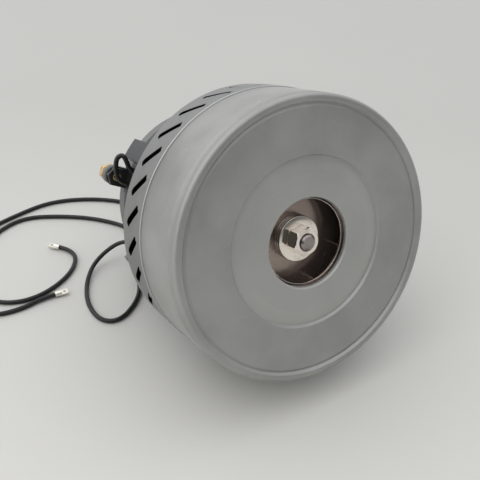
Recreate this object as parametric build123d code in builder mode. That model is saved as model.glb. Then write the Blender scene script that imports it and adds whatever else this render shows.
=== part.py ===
"""Two-stage vacuum motor unit, lying on its side as it rests on a table.

Every piece is drawn about the shaft. A level is a distance behind the front rim,
measured along the shaft. An angle is counted round the shaft from the side where
the leads come out, upwards. All sizes are in millimetres and degrees.
"""

import os
from math import atan, cos, degrees, pi, radians, sin, sqrt, tan

from build123d import *

os.makedirs("parts", exist_ok=True)

# Clearances shared by all pieces
overrun = 1.0
fit_gap = 0.05
shaft_gap = 0.02
running_gap = 0.05
seat_gap = 0.3

# Fan case, front half
case_radius = 72.5
sheet = 0.8
shell_depth = 39.5
face_recess = 1.0
rim_inset = 0.2
rim_corner = 1.9
bead_width = 3.4
bead_slope = 1.7
neck_inset = 0.8
neck_start = 2.6
neck_end = 7.4
plateau_radius = 35.3
groove_slope = 7.3
groove_rise = 1.4
groove_depth = 1.4
inlet_radius = 22.6
inlet_lip = 2.9
inlet_roll = 1.6
bend_radius = 1.0
soft_bend_radius = 0.6
plateau_bend_radius = 3.0

# Fan case, rear half with its louvres
case_depth = 64.5
spigot_length = 5.0
joint_lip_rise = 0.5
joint_lip_width = 1.1
edge_radius = 1.5
slot_count = 29
slot_length = 16.5
slot_width = 3.4
slot_offset = 12.35
slot_slant = 41.7
slot_angle = 6.85
lip_length = 14.7
lip_width = 3.0
lip_sink = 0.6
lip_height = 1.2
lip_taper = 24

# Fans
fan_room = 6.5
fan_sheet = 0.8
fan_plate = 1.0
fan_depth = 10.2
fan_rim_depth = 5.3
fan_eye_gap = 0.8
fan_eye_rise = 1.6
fan_vane_count = 7
fan_vane_inset = 1.6
fan_vane_sweep = 62
fan_vane_width = 0.8
front_fan_level = 16.8
rear_fan_rise = 13.0

# Stage plate between the two fans
guide_gap = 2.2
guide_plate = 1.0
guide_room = 7.0
guide_depth = 12.0
guide_rim_width = 1.4
guide_vane_count = 12
guide_vane_inset = 3.6
guide_vane_sweep = -48
guide_vane_width = 1.2

# Shaft and what is stacked on it
thread_radius = 4.0
shaft_radius = 5.0
shaft_front = 1.6
shaft_end_gap = 0.7
shaft_chamfer = 0.8
nut_flats = 13.0
nut_level = 3.1
nut_height = 7.25
nut_chamfer = 0.9
nut_turn = 9
washer_radius = 11.8
washer_count = 3
washer_pitch = 1.8
washer_chamfer = 0.35
spacer_radius = 5.9

# Ball bearings
bearing_radius = 11.0
bearing_width = 7.0
bearing_land = 2.0
ball_count = 7
front_bearing_inset = 5.0
rear_bearing_offset = 1.0

# Drive bracket
flange_width = 7.2
flange_plate = 3.5
pilot_radius = 44.4
pilot_height = 2.5
pilot_wall = 4.0
hub_radius = 15.0
hub_lip = 1.5
hub_bore_radius = 8.0
case_screw_reach = 3.7
case_screw_count = 4
case_screw_radius = 2.0
case_screw_head_radius = 3.2
case_screw_head = 2.2
case_screw_tip = 2.2
case_screw_angle = 72

# Motor housing
housing_radius = 53.3
housing_wall = 3.0
housing_foot = 2.5
housing_length = 47.0
lobe_rise = 6.7
lobe_start_angle = 40
lobe_end_angle = 52
lobe_length = 29.0
outlet_count = 10
outlet_width = 11.0
outlet_height = 5.0
outlet_offset = 6.0

# End bracket and the screws that clamp it
bracket_depth = 9.0
bracket_plate = 4.0
bracket_wall = 4.2
ear_plate = 4.0
clamp_reach = 8.7
clamp_angle = 29
ear_radius = 5.6
housing_ear = 3.0
clamp_screw_radius = 2.45
clamp_head_flats = 9.6
clamp_head = 4.0
clamp_slot_width = 1.3
clamp_slot_depth = 1.4
flat_washer_radius = 5.3
flat_washer = 1.1
spring_washer_radius = 4.5
spring_washer = 1.6
spring_washer_cut = 1.0
clamp_nut = 3.2
window_count = 8
window_inner = 19.0
window_outer = 35.0
window_rib = 7.0

# Stator, armature and commutator
core_offset = 6.5
core_length = 18.0
core_gap = 0.1
core_flat_depth = 5.2
air_gap = 0.6
armature_radius = 23.0
core_back = 9.2
pole_window_angle = 35
coil_gap = 3.0
coil_room = 2.0
coil_side_start = 4
coil_side_end = 33
coil_overhang = 5.0
tooth_count = 12
tooth_slot_width = 2.4
tooth_slot_floor = 12.5
wire_gap = 0.4
winding_inner = 8.0
winding_outer = 20.0
winding_overhang = 4.8
commutator_radius = 12.5
commutator_gap = 5.4
commutator_length = 15.0
commutator_bars = 24
commutator_cut = 0.5
commutator_cut_depth = 1.0
riser_radius = 13.8
riser_width = 1.6

# Brush gear
brush_offset = 6.3
brush_width = 6.3
brush_height = 8.0
brush_length = 24.0
brush_slide_gap = 0.1
holder_width = 12.4
holder_height = 10.6
holder_inner = 15.0
holder_flange = 2.2
holder_flange_width = 15.2
holder_flange_height = 11.8
cap_plate = 1.0
cap_width = 9.0
cap_height = 8.8
cap_plug = 3.0
brush_spring_radius = 2.7
brush_spring_wall = 0.8

# Cooling fan and its cover
cooler_offset = 11.5
cooler_plate = 1.2
cooler_height = 11.5
cooler_room = 5.0
cooler_hub_radius = 9.0
cooler_vane_count = 11
cooler_vane_width = 1.2
cooler_vane_start = 13.0
cooler_nut_height = 3.8
cover_step = 8.0
cover_wall = 1.2
cover_depth = 29.5
cover_flange_inset = 5.3
cover_corner = 3.0
grille_count = 18
grille_inner = 12.0
grille_margin = 7.0
grille_width = 3.0
cover_screw_inset = 3.6
cover_screw_count = 3
cover_screw_radius = 1.5
cover_screw_head_radius = 2.8
cover_screw_head = 1.8
cover_screw_length = 5.0

# Leads, grommets and terminals
lead_radius = 1.4
grommet_radius = 2.6
grommet_collar_radius = 3.6
grommet_collar = 1.5
grommet_reach = 3.7
grommet_angles = {"lead_a": -44, "lead_b": -28}
lead_ear_margin = 5.0
lead_ear_start_angle = -52
lead_ear_end_angle = -20
crimp_radius = 1.85
crimp_length = 3.8
blade_width = 4.2
blade_root = 1.5
blade_length = 6.5
blade_thickness = 0.8
blade_hole_radius = 0.8

# Each lead leaves its grommet along the shaft, then takes its route over the table to
# its terminal, as points where straight runs would meet. The bends between them take a fixed share of a run.
lead_start = 9.0
bend_share = 0.45
lead_routes = {
    "lead_a": [
        (-36.0, 57.0, 6.4),
        (-26.0, 75.0, 2.7),
        (-17.5, 97.0, 1.5),
        (-12.0, 129.0, 1.5),
        (-35.0, 151.8, 1.5),
        (-66.0, 165.4, 1.5),
        (-95.0, 160.5, 1.5),
        (-122.0, 152.5, 1.5),
        (-145.0, 137.0, 1.5),
        (-157.0, 111.0, 1.5),
        (-154.0, 83.0, 1.5),
        (-139.0, 63.0, 1.5),
        (-122.0, 59.6, 1.5),
        (-107.0, 62.4, 1.95),
        (-98.4, 61.6, 1.95),
    ],
    "lead_b": [
        (-44.8, 58.0, 19.9),
        (-41.5, 70.5, 16.3),
        (-49.0, 79.5, 11.5),
        (-66.0, 77.0, 4.5),
        (-78.0, 62.0, 1.5),
        (-84.5, 42.0, 1.5),
        (-82.5, 23.5, 1.5),
        (-70.0, 19.0, 1.5),
        (-50.5, 36.0, 1.5),
        (-44.5, 60.0, 1.5),
        (-33.0, 81.0, 1.5),
        (-27.5, 103.0, 1.5),
        (-45.5, 127.5, 1.5),
        (-68.0, 144.3, 1.5),
        (-90.5, 154.9, 1.5),
        (-112.0, 147.5, 1.5),
        (-128.5, 131.5, 1.5),
        (-138.5, 112.0, 1.5),
        (-140.5, 91.0, 1.5),
        (-133.0, 73.5, 1.5),
        (-117.5, 65.2, 1.5),
        (-99.0, 67.2, 1.5),
        (-79.5, 79.5, 1.5),
        (-71.5, 97.5, 1.95),
        (-79.8, 107.2, 1.95),
    ],
}

# Brush leads: a folded wire from the cap to the holder's flange, as points measured
# out from the flange's face, sideways from the brush, and rearward from its middle
brush_lead_radius = 1.2
brush_lead_route = [
    (7.1, -2.0, 0),
    (10.1, 4.2, 1.0),
    (11.3, 10.8, 1.2),
    (8.3, 13.4, 0),
    (4.9, 9.0, -1.0),
    (3.1, 6.1, -1.6),
]

# Levels and radii that follow from the sizes above
rim_radius = case_radius - rim_inset
bead_radius = rim_radius - bead_width
bead_foot_radius = bead_radius - bead_slope
neck_radius = case_radius - neck_inset
groove_radius = plateau_radius + groove_slope
groove_outer_radius = groove_radius + groove_rise
joint_lip_radius = case_radius + joint_lip_rise
lip_root_radius = case_radius - lip_sink
fan_radius = case_radius - fan_room
fan_eye_radius = inlet_radius + fan_eye_gap
fan_vane_start = fan_eye_radius + fan_vane_inset
guide_radius = case_radius - guide_room
guide_vane_start = fan_eye_radius + guide_vane_inset
flange_radius = housing_radius + flange_width
case_screw_circle = housing_radius + case_screw_reach
lobe_radius = housing_radius + lobe_rise
clamp_circle = housing_radius + clamp_reach
grommet_circle = housing_radius + grommet_reach
lead_ear_radius = grommet_circle + lead_ear_margin
slot_level = shell_depth + slot_offset
guide_level = front_fan_level + guide_gap
rear_fan_level = guide_level + guide_depth + rear_fan_rise
front_bearing_level = case_depth - front_bearing_inset
housing_front = case_depth + flange_plate
housing_rear = housing_front + housing_length
outlet_level = housing_front + outlet_offset
bracket_rear = housing_rear + bracket_depth
rear_bearing_level = bracket_rear + rear_bearing_offset
core_level = housing_front + core_offset
core_rear = core_level + core_length
commutator_level = core_rear + commutator_gap
brush_level = commutator_level + brush_offset
cooler_level = bracket_rear + cooler_offset
housing_bore = housing_radius - housing_wall
core_radius = housing_bore - core_gap
core_flat = core_radius - core_flat_depth
pole_window_radius = core_radius - core_back
coil_radius = armature_radius + coil_gap
coil_outer = pole_window_radius - coil_room
cover_flange_radius = housing_radius - cover_flange_inset
cover_radius = cover_flange_radius - cover_step
cover_screw_circle = cover_flange_radius - cover_screw_inset
cooler_radius = cover_radius - cooler_room
grille_outer = cover_radius - grille_margin
pocket_radius = bearing_radius + fit_gap
cover_rear = bracket_rear + cover_depth
shaft_rear = cover_rear - cover_wall - shaft_end_gap

# Resting pose: the rounded rear edge of the case and that of the end bracket touch
# the table, so the shaft dips by this angle towards the rear.
edge_drop = case_radius - housing_radius
edge_run = bracket_rear - case_depth
tilt = atan(edge_drop / edge_run)
shaft_height = (
    (case_radius - edge_radius) * cos(tilt)
    + (case_depth - edge_radius) * sin(tilt)
    + edge_radius
)
box_front = rim_corner * cos(tilt) - (rim_radius - rim_corner) * sin(tilt) - rim_corner
cover_edge_radius = cover_radius - cover_corner
cover_edge_level = cover_rear - cover_corner
box_rear = cover_edge_level * cos(tilt) + cover_edge_radius * sin(tilt) + cover_corner

# The unit's own frame: x towards the leads, y up, z along the shaft to the rear
unit = Plane(
    origin=(0, -(box_front + box_rear) / 2, shaft_height),
    x_dir=(-1, 0, 0),
    z_dir=(0, cos(tilt), -sin(tilt)),
)
shaft_axis = Axis(unit.origin, unit.z_dir)
section = Plane(unit.origin, x_dir=unit.x_dir, z_dir=unit.x_dir.cross(unit.z_dir))


def outward(angle):
    """The direction square to the shaft at an angle round it."""
    return unit.x_dir * cos(radians(angle)) + unit.y_dir * sin(radians(angle))


def place(radius, angle, level):
    """The point at a radius, an angle and a level."""
    return unit.origin + outward(angle) * radius + unit.z_dir * level


def facing_out(radius, angle, level):
    """A plane that faces away from the shaft, with its x along the shaft."""
    return Plane(place(radius, angle, level), x_dir=unit.z_dir, z_dir=outward(angle))


def ring(outer, inner, start, end, mode=Mode.ADD):
    """Adds a ring about the shaft between two levels, or a disc where inner is 0."""
    with BuildSketch(unit.offset(start)) as face:
        Circle(outer)
        if inner > 0:
            Circle(inner, mode=Mode.SUBTRACT)
    extrude(face.sketch, amount=end - start, mode=mode)


def turned(points, radii=0, mode=Mode.ADD):
    """Adds the solid that a closed outline of (radius, level) points turns into."""
    with BuildSketch(section) as face:
        with BuildLine():
            FilletPolyline(*points, radius=radii, close=True)
        make_face()
    revolve(face.sketch, axis=shaft_axis, mode=mode)


def sheet_turned(points, radii, thickness):
    """Adds a turned shell of even thickness, to the left of an open outline."""
    corners = [Vector(*point) for point in points]
    steps = [(after - before).normalized() for before, after in zip(corners, corners[1:])]
    sides = [Vector(-step.Y, step.X) for step in steps]
    inner_points = [corners[0] + sides[0] * thickness]
    inner_radii = [0]
    for corner, radius, (side, step), (next_side, next_step) in zip(
        corners[1:-1], radii, zip(sides, steps), zip(sides[1:], steps[1:])
    ):
        inner_points.append(corner + (side + next_side) * (thickness / (1 + side.dot(next_side))))
        bends_inward = step.cross(next_step).Z > 0
        inner_radii.append(radius - thickness if bends_inward else radius + thickness)
    inner_points.append(corners[-1] + sides[-1] * thickness)
    inner_radii.append(0)
    turned(corners + inner_points[::-1], [0] + list(radii) + [0] + inner_radii[::-1])


def sector(outer, inner, start_angle, end_angle, start, end, mode=Mode.ADD):
    """Adds a sector of a ring about the shaft between two levels."""
    turn = end_angle - start_angle
    with BuildSketch(unit.offset(start)) as face:
        with BuildLine():
            far = CenterArc((0, 0), outer, start_angle, turn)
            near = CenterArc((0, 0), inner, start_angle, turn)
            Line(far @ 0, near @ 0)
            Line(far @ 1, near @ 1)
        make_face()
    extrude(face.sketch, amount=end - start, mode=mode)


def curved_vanes(count, start, end, sweep, width, level, height):
    """Adds curved vanes that stand on a level between two radii."""
    with BuildLine() as path:
        ThreePointArc(
            (start, 0),
            polar((start + end) / 2, sweep / 2),
            polar(end, sweep),
        )
    with BuildSketch(unit.offset(level)) as face:
        with PolarLocations(0, count):
            SlotArc(path.line.edge(), height=width)
    extrude(face.sketch, amount=height)


def polar(radius, angle):
    """The flat point at a radius and an angle."""
    return (radius * cos(radians(angle)), radius * sin(radians(angle)))


def tube(points, radius):
    """Adds a round wire along straight runs joined by arcs, and returns its length."""
    corners = [Vector(*point) for point in points]
    runs = [after - before for before, after in zip(corners, corners[1:])]
    bends = []
    for before, after in zip(runs, runs[1:]):
        half_turn = radians(before.get_angle(after)) / 2
        bends.append(bend_share * min(before.length, after.length) / tan(half_turn))
    with BuildLine() as path:
        FilletPolyline(*corners, radius=bends)
    with BuildSketch(Plane(corners[0], z_dir=runs[0])) as face:
        Circle(radius)
    sweep(face.sketch, path=path.line)
    length = sum(edge.length for edge in path.edges())
    print("bend radii:", [round(bend, 1) for bend in bends])
    print(f"length {length:.1f} mm, section times length {pi * radius * radius * length:.1f} mm3")


def save(part, name):
    """Labels a finished piece and writes its file."""
    part.label = name
    export_step(part, f"parts/{name}.step")
    print(f"{name}: {len(part.solids())} solids, {part.volume:.1f} mm3")


# Inlet shell: a drawn steel drum, one sheet all over
with BuildPart() as inlet_shell:
    front_outline = (
        ((inlet_radius, face_recess + inlet_lip), 0),
        ((inlet_radius, face_recess), inlet_roll),
        ((plateau_radius, face_recess), plateau_bend_radius),
        ((groove_radius, face_recess + groove_depth), soft_bend_radius),
        ((groove_outer_radius, face_recess), bend_radius),
        ((bead_foot_radius, face_recess), soft_bend_radius),
        ((bead_radius, 0), bend_radius),
        ((rim_radius, 0), rim_corner),
        ((rim_radius, neck_start), bend_radius),
        ((neck_radius, neck_start + rim_radius - neck_radius), soft_bend_radius),
        ((neck_radius, neck_end - neck_inset), soft_bend_radius),
        ((case_radius, neck_end), bend_radius),
        ((case_radius, shell_depth), 0),
    )
    sheet_turned(
        [point for point, radius in front_outline],
        [radius for point, radius in front_outline[1:-1]],
        sheet,
    )
save(inlet_shell.part, "inlet_shell")

# Exhaust shell: a spigot inside the inlet shell, a raised lip at the joint, louvres
# all round and a rear wall with a round opening for the motor
with BuildPart() as exhaust_shell:
    spigot_radius = case_radius - sheet - fit_gap
    lip_level = shell_depth + joint_lip_width
    turned(
        [
            (spigot_radius, shell_depth - spigot_length),
            (spigot_radius, shell_depth),
            (joint_lip_radius, shell_depth),
            (joint_lip_radius, lip_level),
            (case_radius, lip_level + joint_lip_radius - case_radius),
            (case_radius, case_depth),
            (pilot_radius + fit_gap, case_depth),
            (pilot_radius + fit_gap, case_depth - sheet),
            (case_radius - sheet, case_depth - sheet),
            (case_radius - sheet, lip_level + sheet),
            (spigot_radius - sheet, lip_level),
            (spigot_radius - sheet, shell_depth - spigot_length),
        ],
        [0, 0, 0, 0, 0, edge_radius, 0, 0, edge_radius - sheet, 0, 0, 0],
    )
    lip_offset = (slot_width + lip_width) / 2
    for turn in range(slot_count):
        slot_place = facing_out(lip_root_radius, slot_angle + turn * 360 / slot_count, slot_level)
        with BuildSketch(slot_place) as lip:
            with Locations(Location((0, 0), slot_slant)):
                with Locations((0, lip_offset)):
                    SlotCenterToCenter(lip_length - lip_width, lip_width)
        extrude(amount=lip_height, taper=lip_taper)
    for turn in range(slot_count):
        slot_place = facing_out(lip_root_radius, slot_angle + turn * 360 / slot_count, slot_level)
        with BuildSketch(slot_place):
            SlotOverall(slot_length, slot_width, rotation=slot_slant)
        extrude(amount=lip_height + overrun, both=True, mode=Mode.SUBTRACT)
    with BuildSketch(unit.offset(case_depth)):
        with PolarLocations(case_screw_circle, case_screw_count, start_angle=case_screw_angle):
            Circle(case_screw_radius + fit_gap)
    extrude(amount=-(sheet + overrun), mode=Mode.SUBTRACT)
save(exhaust_shell.part, "exhaust_shell")

# Stage plate: guide disc, return vanes and the rear fan's intake plate
with BuildPart() as stage_plate:
    intake_level = guide_level + guide_depth - guide_plate
    curved_vanes(
        guide_vane_count,
        guide_vane_start,
        guide_radius - guide_vane_width,
        guide_vane_sweep,
        guide_vane_width,
        guide_level,
        guide_depth,
    )
    ring(guide_radius, spacer_radius + fan_plate, guide_level, guide_level + guide_plate)
    ring(spigot_radius, fan_eye_radius + fan_plate, intake_level, guide_level + guide_depth)
    rim_end = shell_depth - spigot_length
    ring(spigot_radius, spigot_radius - guide_rim_width, intake_level, rim_end)
save(stage_plate.part, "stage_plate")

# Fans: a curved front cone with the eye, vanes and a flat rear plate, made twice
for name, plate_level in (("front_fan", front_fan_level), ("rear_fan", rear_fan_level)):
    with BuildPart() as fan:
        plate_front = plate_level - fan_plate
        rim_level = plate_front - fan_rim_depth
        eye_level = plate_front - fan_depth
        cone_level = eye_level + fan_eye_rise
        curved_vanes(
            fan_vane_count,
            fan_vane_start,
            fan_radius - fan_vane_width,
            fan_vane_sweep,
            fan_vane_width,
            eye_level,
            fan_depth + fan_plate / 2,
        )
        cone = [
            (fan_eye_radius, eye_level),
            (fan_eye_radius + fan_sheet, eye_level),
            (fan_eye_radius + fan_sheet, cone_level),
            (fan_radius, rim_level - fan_sheet),
            (fan_radius, rim_level),
            (fan_eye_radius, cone_level + fan_sheet),
        ]
        turned(
            [(0, plate_level), (fan_radius, plate_level), (fan_radius, rim_level), cone[-1], cone[0], (0, eye_level)],
            mode=Mode.INTERSECT,
        )
        turned(cone)
        ring(fan_radius, thread_radius + shaft_gap, plate_front, plate_level)
    save(fan.part, name)

# Shaft: a threaded front end, a thicker middle and a rear journal
with BuildPart() as shaft:
    shoulder_level = front_bearing_level + bearing_width
    turned(
        [
            (0, shaft_front),
            (thread_radius - shaft_chamfer, shaft_front),
            (thread_radius, shaft_front + shaft_chamfer),
            (thread_radius, shoulder_level),
            (shaft_radius, shoulder_level),
            (shaft_radius, rear_bearing_level),
            (thread_radius, rear_bearing_level),
            (thread_radius, shaft_rear - shaft_chamfer),
            (thread_radius - shaft_chamfer, shaft_rear),
            (0, shaft_rear),
        ]
    )
save(shaft.part, "shaft")

# Nuts: one in front of the fans, one behind the cooling fan
cooler_nut_level = cooler_level + cooler_height + fit_gap
for name, level, height in (
    ("lock_nut", nut_level, nut_height),
    ("cooling_fan_nut", cooler_nut_level, cooler_nut_height),
):
    with BuildPart() as nut:
        nut_corner = nut_flats / sqrt(3)
        with BuildSketch(unit.offset(level)):
            RegularPolygon(nut_corner, 6, rotation=nut_turn)
            Circle(thread_radius + shaft_gap, mode=Mode.SUBTRACT)
        extrude(amount=height)
        turned(
            [
                (0, level),
                (nut_corner - nut_chamfer, level),
                (nut_corner, level + nut_chamfer / 2),
                (nut_corner, level + height - nut_chamfer / 2),
                (nut_corner - nut_chamfer, level + height),
                (0, level + height),
            ],
            mode=Mode.INTERSECT,
        )
    save(nut.part, name)

# Inlet washers: a stack between the lock nut and the front fan
with BuildPart() as inlet_washers:
    stack_level = front_fan_level - fan_plate - washer_count * washer_pitch
    for place_in_stack in range(washer_count):
        washer_front = stack_level + place_in_stack * washer_pitch
        washer_rear = washer_front + washer_pitch - fit_gap
        turned(
            [
                (thread_radius + shaft_gap, washer_front),
                (washer_radius - washer_chamfer, washer_front),
                (washer_radius, washer_front + washer_chamfer),
                (washer_radius, washer_rear - washer_chamfer),
                (washer_radius - washer_chamfer, washer_rear),
                (thread_radius + shaft_gap, washer_rear),
            ]
        )
save(inlet_washers.part, "inlet_washers")

# Spacers: between the fans, and between the rear fan and the front bearing
for name, start, end in (
    ("front_spacer", front_fan_level, rear_fan_level - fan_plate),
    ("rear_spacer", rear_fan_level, front_bearing_level),
):
    with BuildPart() as spacer:
        ring(spacer_radius, thread_radius + shaft_gap, start, end)
    save(spacer.part, name)

# Ball bearings, front and rear: two rings with a set of balls between them
for name, level in (("front", front_bearing_level), ("rear", rear_bearing_level)):
    outer_race = bearing_radius - bearing_land
    inner_race = thread_radius + bearing_land
    with BuildPart() as outer_ring:
        ring(bearing_radius, outer_race, level, level + bearing_width)
    save(outer_ring.part, f"{name}_bearing_outer_ring")
    with BuildPart() as inner_ring:
        ring(inner_race, thread_radius + shaft_gap, level, level + bearing_width)
    save(inner_ring.part, f"{name}_bearing_inner_ring")
    with BuildPart(unit.offset(level + bearing_width / 2)) as balls:
        with PolarLocations((outer_race + inner_race) / 2, ball_count):
            Sphere((outer_race - inner_race) / 2 - running_gap)
    save(balls.part, f"{name}_bearing_balls")

# Drive bracket: a flange on the case, a pilot in its opening and the bearing hub
with BuildPart() as drive_bracket:
    hub_front = front_bearing_level - hub_lip
    ring(flange_radius, hub_bore_radius, case_depth, housing_front)
    ring(pilot_radius, pilot_radius - pilot_wall, case_depth - pilot_height, case_depth)
    ring(hub_radius, hub_bore_radius, hub_front, case_depth)
    ring(pocket_radius, 0, front_bearing_level, housing_front + overrun, mode=Mode.SUBTRACT)
    with BuildSketch(unit.offset(case_depth)):
        with PolarLocations(case_screw_circle, case_screw_count, start_angle=case_screw_angle):
            Circle(case_screw_radius + fit_gap)
    extrude(amount=flange_plate, mode=Mode.SUBTRACT)
save(drive_bracket.part, "drive_bracket")

# Case screws: through the housing's foot and the bracket into the case
with BuildPart() as case_screws:
    screw_seat = housing_front + housing_foot
    with BuildSketch(unit.offset(case_depth - case_screw_tip)):
        with PolarLocations(case_screw_circle, case_screw_count, start_angle=case_screw_angle):
            Circle(case_screw_radius)
    extrude(amount=screw_seat - case_depth + case_screw_tip)
    with BuildSketch(unit.offset(screw_seat)):
        with PolarLocations(case_screw_circle, case_screw_count, start_angle=case_screw_angle):
            Circle(case_screw_head_radius)
    extrude(amount=case_screw_head, taper=lip_taper)
save(case_screws.part, "case_screws")

# Motor housing: a moulded tube with a foot, two lobes, two brush windows, ears for
# the clamp screws, an ear for the leads and a row of air outlets
with BuildPart() as motor_housing:
    ring(housing_radius, 0, housing_front, housing_rear)
    ring(flange_radius, 0, housing_front, housing_front + housing_foot)
    for turn in (0, 180):
        sector(
            lobe_radius,
            housing_bore,
            lobe_start_angle + turn,
            lobe_end_angle + turn,
            housing_rear - lobe_length,
            housing_rear,
        )
    sector(
        lead_ear_radius,
        housing_bore,
        lead_ear_start_angle,
        lead_ear_end_angle,
        housing_rear - housing_ear,
        housing_rear,
    )
    for turn in (0, 180):
        with BuildSketch(unit.offset(housing_rear - housing_ear)):
            with PolarLocations(0, 1, start_angle=clamp_angle + turn):
                with Locations(((housing_radius + clamp_circle) / 2, 0)):
                    Rectangle(clamp_circle - housing_bore, 2 * ear_radius)
                with Locations((clamp_circle, 0)):
                    Circle(ear_radius)
        extrude(amount=housing_ear)
    ring(housing_bore, 0, housing_front - overrun, housing_rear + overrun, mode=Mode.SUBTRACT)
    for turn in (0, 180):
        with BuildSketch(facing_out(housing_bore - overrun, clamp_angle + turn, brush_level)):
            Rectangle(holder_height + 2 * fit_gap, holder_width + 2 * fit_gap)
        extrude(amount=housing_wall + 2 * overrun, mode=Mode.SUBTRACT)
    for turn in range(outlet_count):
        outlet_angle = clamp_angle + turn * 360 / outlet_count
        with BuildSketch(facing_out(housing_bore - overrun, outlet_angle, outlet_level)):
            SlotOverall(outlet_width, outlet_height, rotation=90)
        extrude(amount=housing_wall + 2 * overrun, mode=Mode.SUBTRACT)
    with BuildSketch(unit.offset(housing_rear)):
        with PolarLocations(clamp_circle, 2, start_angle=clamp_angle):
            Circle(clamp_screw_radius + fit_gap)
    extrude(amount=-(housing_ear + overrun), mode=Mode.SUBTRACT)
    with BuildSketch(unit.offset(housing_front)):
        with PolarLocations(case_screw_circle, case_screw_count, start_angle=case_screw_angle):
            Circle(case_screw_radius + fit_gap)
    extrude(amount=housing_foot, mode=Mode.SUBTRACT)
save(motor_housing.part, "motor_housing")

# End bracket: a cast cup with air windows, the rear bearing's hub and the ears
with BuildPart() as end_bracket:
    plate_front = bracket_rear - bracket_plate
    hub_rear = rear_bearing_level + bearing_width
    turned(
        [
            (hub_bore_radius, plate_front),
            (housing_radius - bracket_wall, plate_front),
            (housing_radius - bracket_wall, housing_rear),
            (housing_radius, housing_rear),
            (housing_radius, bracket_rear),
            (hub_radius, bracket_rear),
            (hub_radius, hub_rear),
            (pocket_radius, hub_rear),
            (pocket_radius, rear_bearing_level),
            (hub_bore_radius, rear_bearing_level),
        ],
        [0, 0, 0, 0, edge_radius, 0, 0, 0, 0, 0],
    )
    for turn in range(window_count):
        window_angle = clamp_angle + turn * 360 / window_count
        rib_angle = degrees(window_rib / (window_inner + window_outer))
        sector(
            window_outer,
            window_inner,
            window_angle + rib_angle,
            window_angle + 360 / window_count - rib_angle,
            plate_front - overrun,
            bracket_rear + overrun,
            mode=Mode.SUBTRACT,
        )
    for turn in (0, 180):
        with BuildSketch(unit.offset(housing_rear)):
            with PolarLocations(0, 1, start_angle=clamp_angle + turn):
                with Locations(((housing_radius + clamp_circle - bracket_wall) / 2, 0)):
                    Rectangle(clamp_circle - housing_radius + bracket_wall, 2 * ear_radius)
                with Locations((clamp_circle, 0)):
                    Circle(ear_radius)
        extrude(amount=ear_plate)
    sector(
        lead_ear_radius,
        housing_radius - bracket_wall,
        lead_ear_start_angle,
        lead_ear_end_angle,
        housing_rear,
        housing_rear + ear_plate,
    )
    with BuildSketch(unit.offset(housing_rear)):
        with PolarLocations(clamp_circle, 2, start_angle=clamp_angle):
            Circle(clamp_screw_radius + fit_gap)
        for angle in grommet_angles.values():
            with Locations(polar(grommet_circle, angle)):
                Circle(grommet_radius + fit_gap)
    extrude(amount=ear_plate, mode=Mode.SUBTRACT)
    with BuildSketch(unit.offset(bracket_rear)):
        with PolarLocations(cover_screw_circle, cover_screw_count, start_angle=90):
            Circle(cover_screw_radius + fit_gap)
    extrude(amount=-bracket_plate - overrun, mode=Mode.SUBTRACT)
save(end_bracket.part, "end_bracket")

# Clamp screws through the ears, each with a flat washer, a spring washer and a nut
seat_level = housing_rear + ear_plate
spring_level = seat_level + flat_washer
head_level = spring_level + spring_washer
nut_front = housing_rear - housing_ear - clamp_nut
with BuildPart() as clamp_screws:
    with BuildSketch(unit.offset(nut_front)):
        with PolarLocations(clamp_circle, 2, start_angle=clamp_angle):
            Circle(clamp_screw_radius)
    extrude(amount=head_level - nut_front)
    with BuildSketch(unit.offset(head_level)):
        with PolarLocations(clamp_circle, 2, start_angle=clamp_angle):
            RegularPolygon(clamp_head_flats / sqrt(3), 6)
    extrude(amount=clamp_head)
    with BuildSketch(unit.offset(head_level + clamp_head)):
        with PolarLocations(clamp_circle, 2, start_angle=clamp_angle):
            Rectangle(clamp_slot_width, 2 * clamp_head_flats)
    extrude(amount=-clamp_slot_depth, mode=Mode.SUBTRACT)
save(clamp_screws.part, "clamp_screws")

with BuildPart() as clamp_flat_washers:
    with BuildSketch(unit.offset(seat_level)):
        with PolarLocations(clamp_circle, 2, start_angle=clamp_angle):
            Circle(flat_washer_radius)
            Circle(clamp_screw_radius + fit_gap, mode=Mode.SUBTRACT)
    extrude(amount=flat_washer)
save(clamp_flat_washers.part, "clamp_flat_washers")

with BuildPart() as clamp_spring_washers:
    with BuildSketch(unit.offset(spring_level)):
        with PolarLocations(clamp_circle, 2, start_angle=clamp_angle):
            Circle(spring_washer_radius)
            Circle(clamp_screw_radius + fit_gap, mode=Mode.SUBTRACT)
            with Locations((spring_washer_radius, 0)):
                Rectangle(2 * clamp_screw_radius, spring_washer_cut, mode=Mode.SUBTRACT)
    extrude(amount=spring_washer)
save(clamp_spring_washers.part, "clamp_spring_washers")

with BuildPart() as clamp_nuts:
    with BuildSketch(unit.offset(nut_front)):
        with PolarLocations(clamp_circle, 2, start_angle=clamp_angle):
            RegularPolygon(clamp_head_flats / sqrt(3), 6)
            Circle(clamp_screw_radius + fit_gap, mode=Mode.SUBTRACT)
    extrude(amount=clamp_nut)
save(clamp_nuts.part, "clamp_nuts")

# Stator core: a stack of sheets with two poles, and a coil round each pole
with BuildPart() as stator_core:
    with BuildSketch(unit.offset(core_level)):
        Circle(core_radius)
        Rectangle(2 * core_radius, 2 * core_flat, mode=Mode.INTERSECT)
        Circle(armature_radius + air_gap, mode=Mode.SUBTRACT)
    extrude(amount=core_length)
    for turn in (0, 180):
        sector(
            pole_window_radius,
            armature_radius,
            turn - pole_window_angle,
            turn + pole_window_angle,
            core_level - overrun,
            core_rear + overrun,
            mode=Mode.SUBTRACT,
        )
save(stator_core.part, "stator_core")

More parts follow.
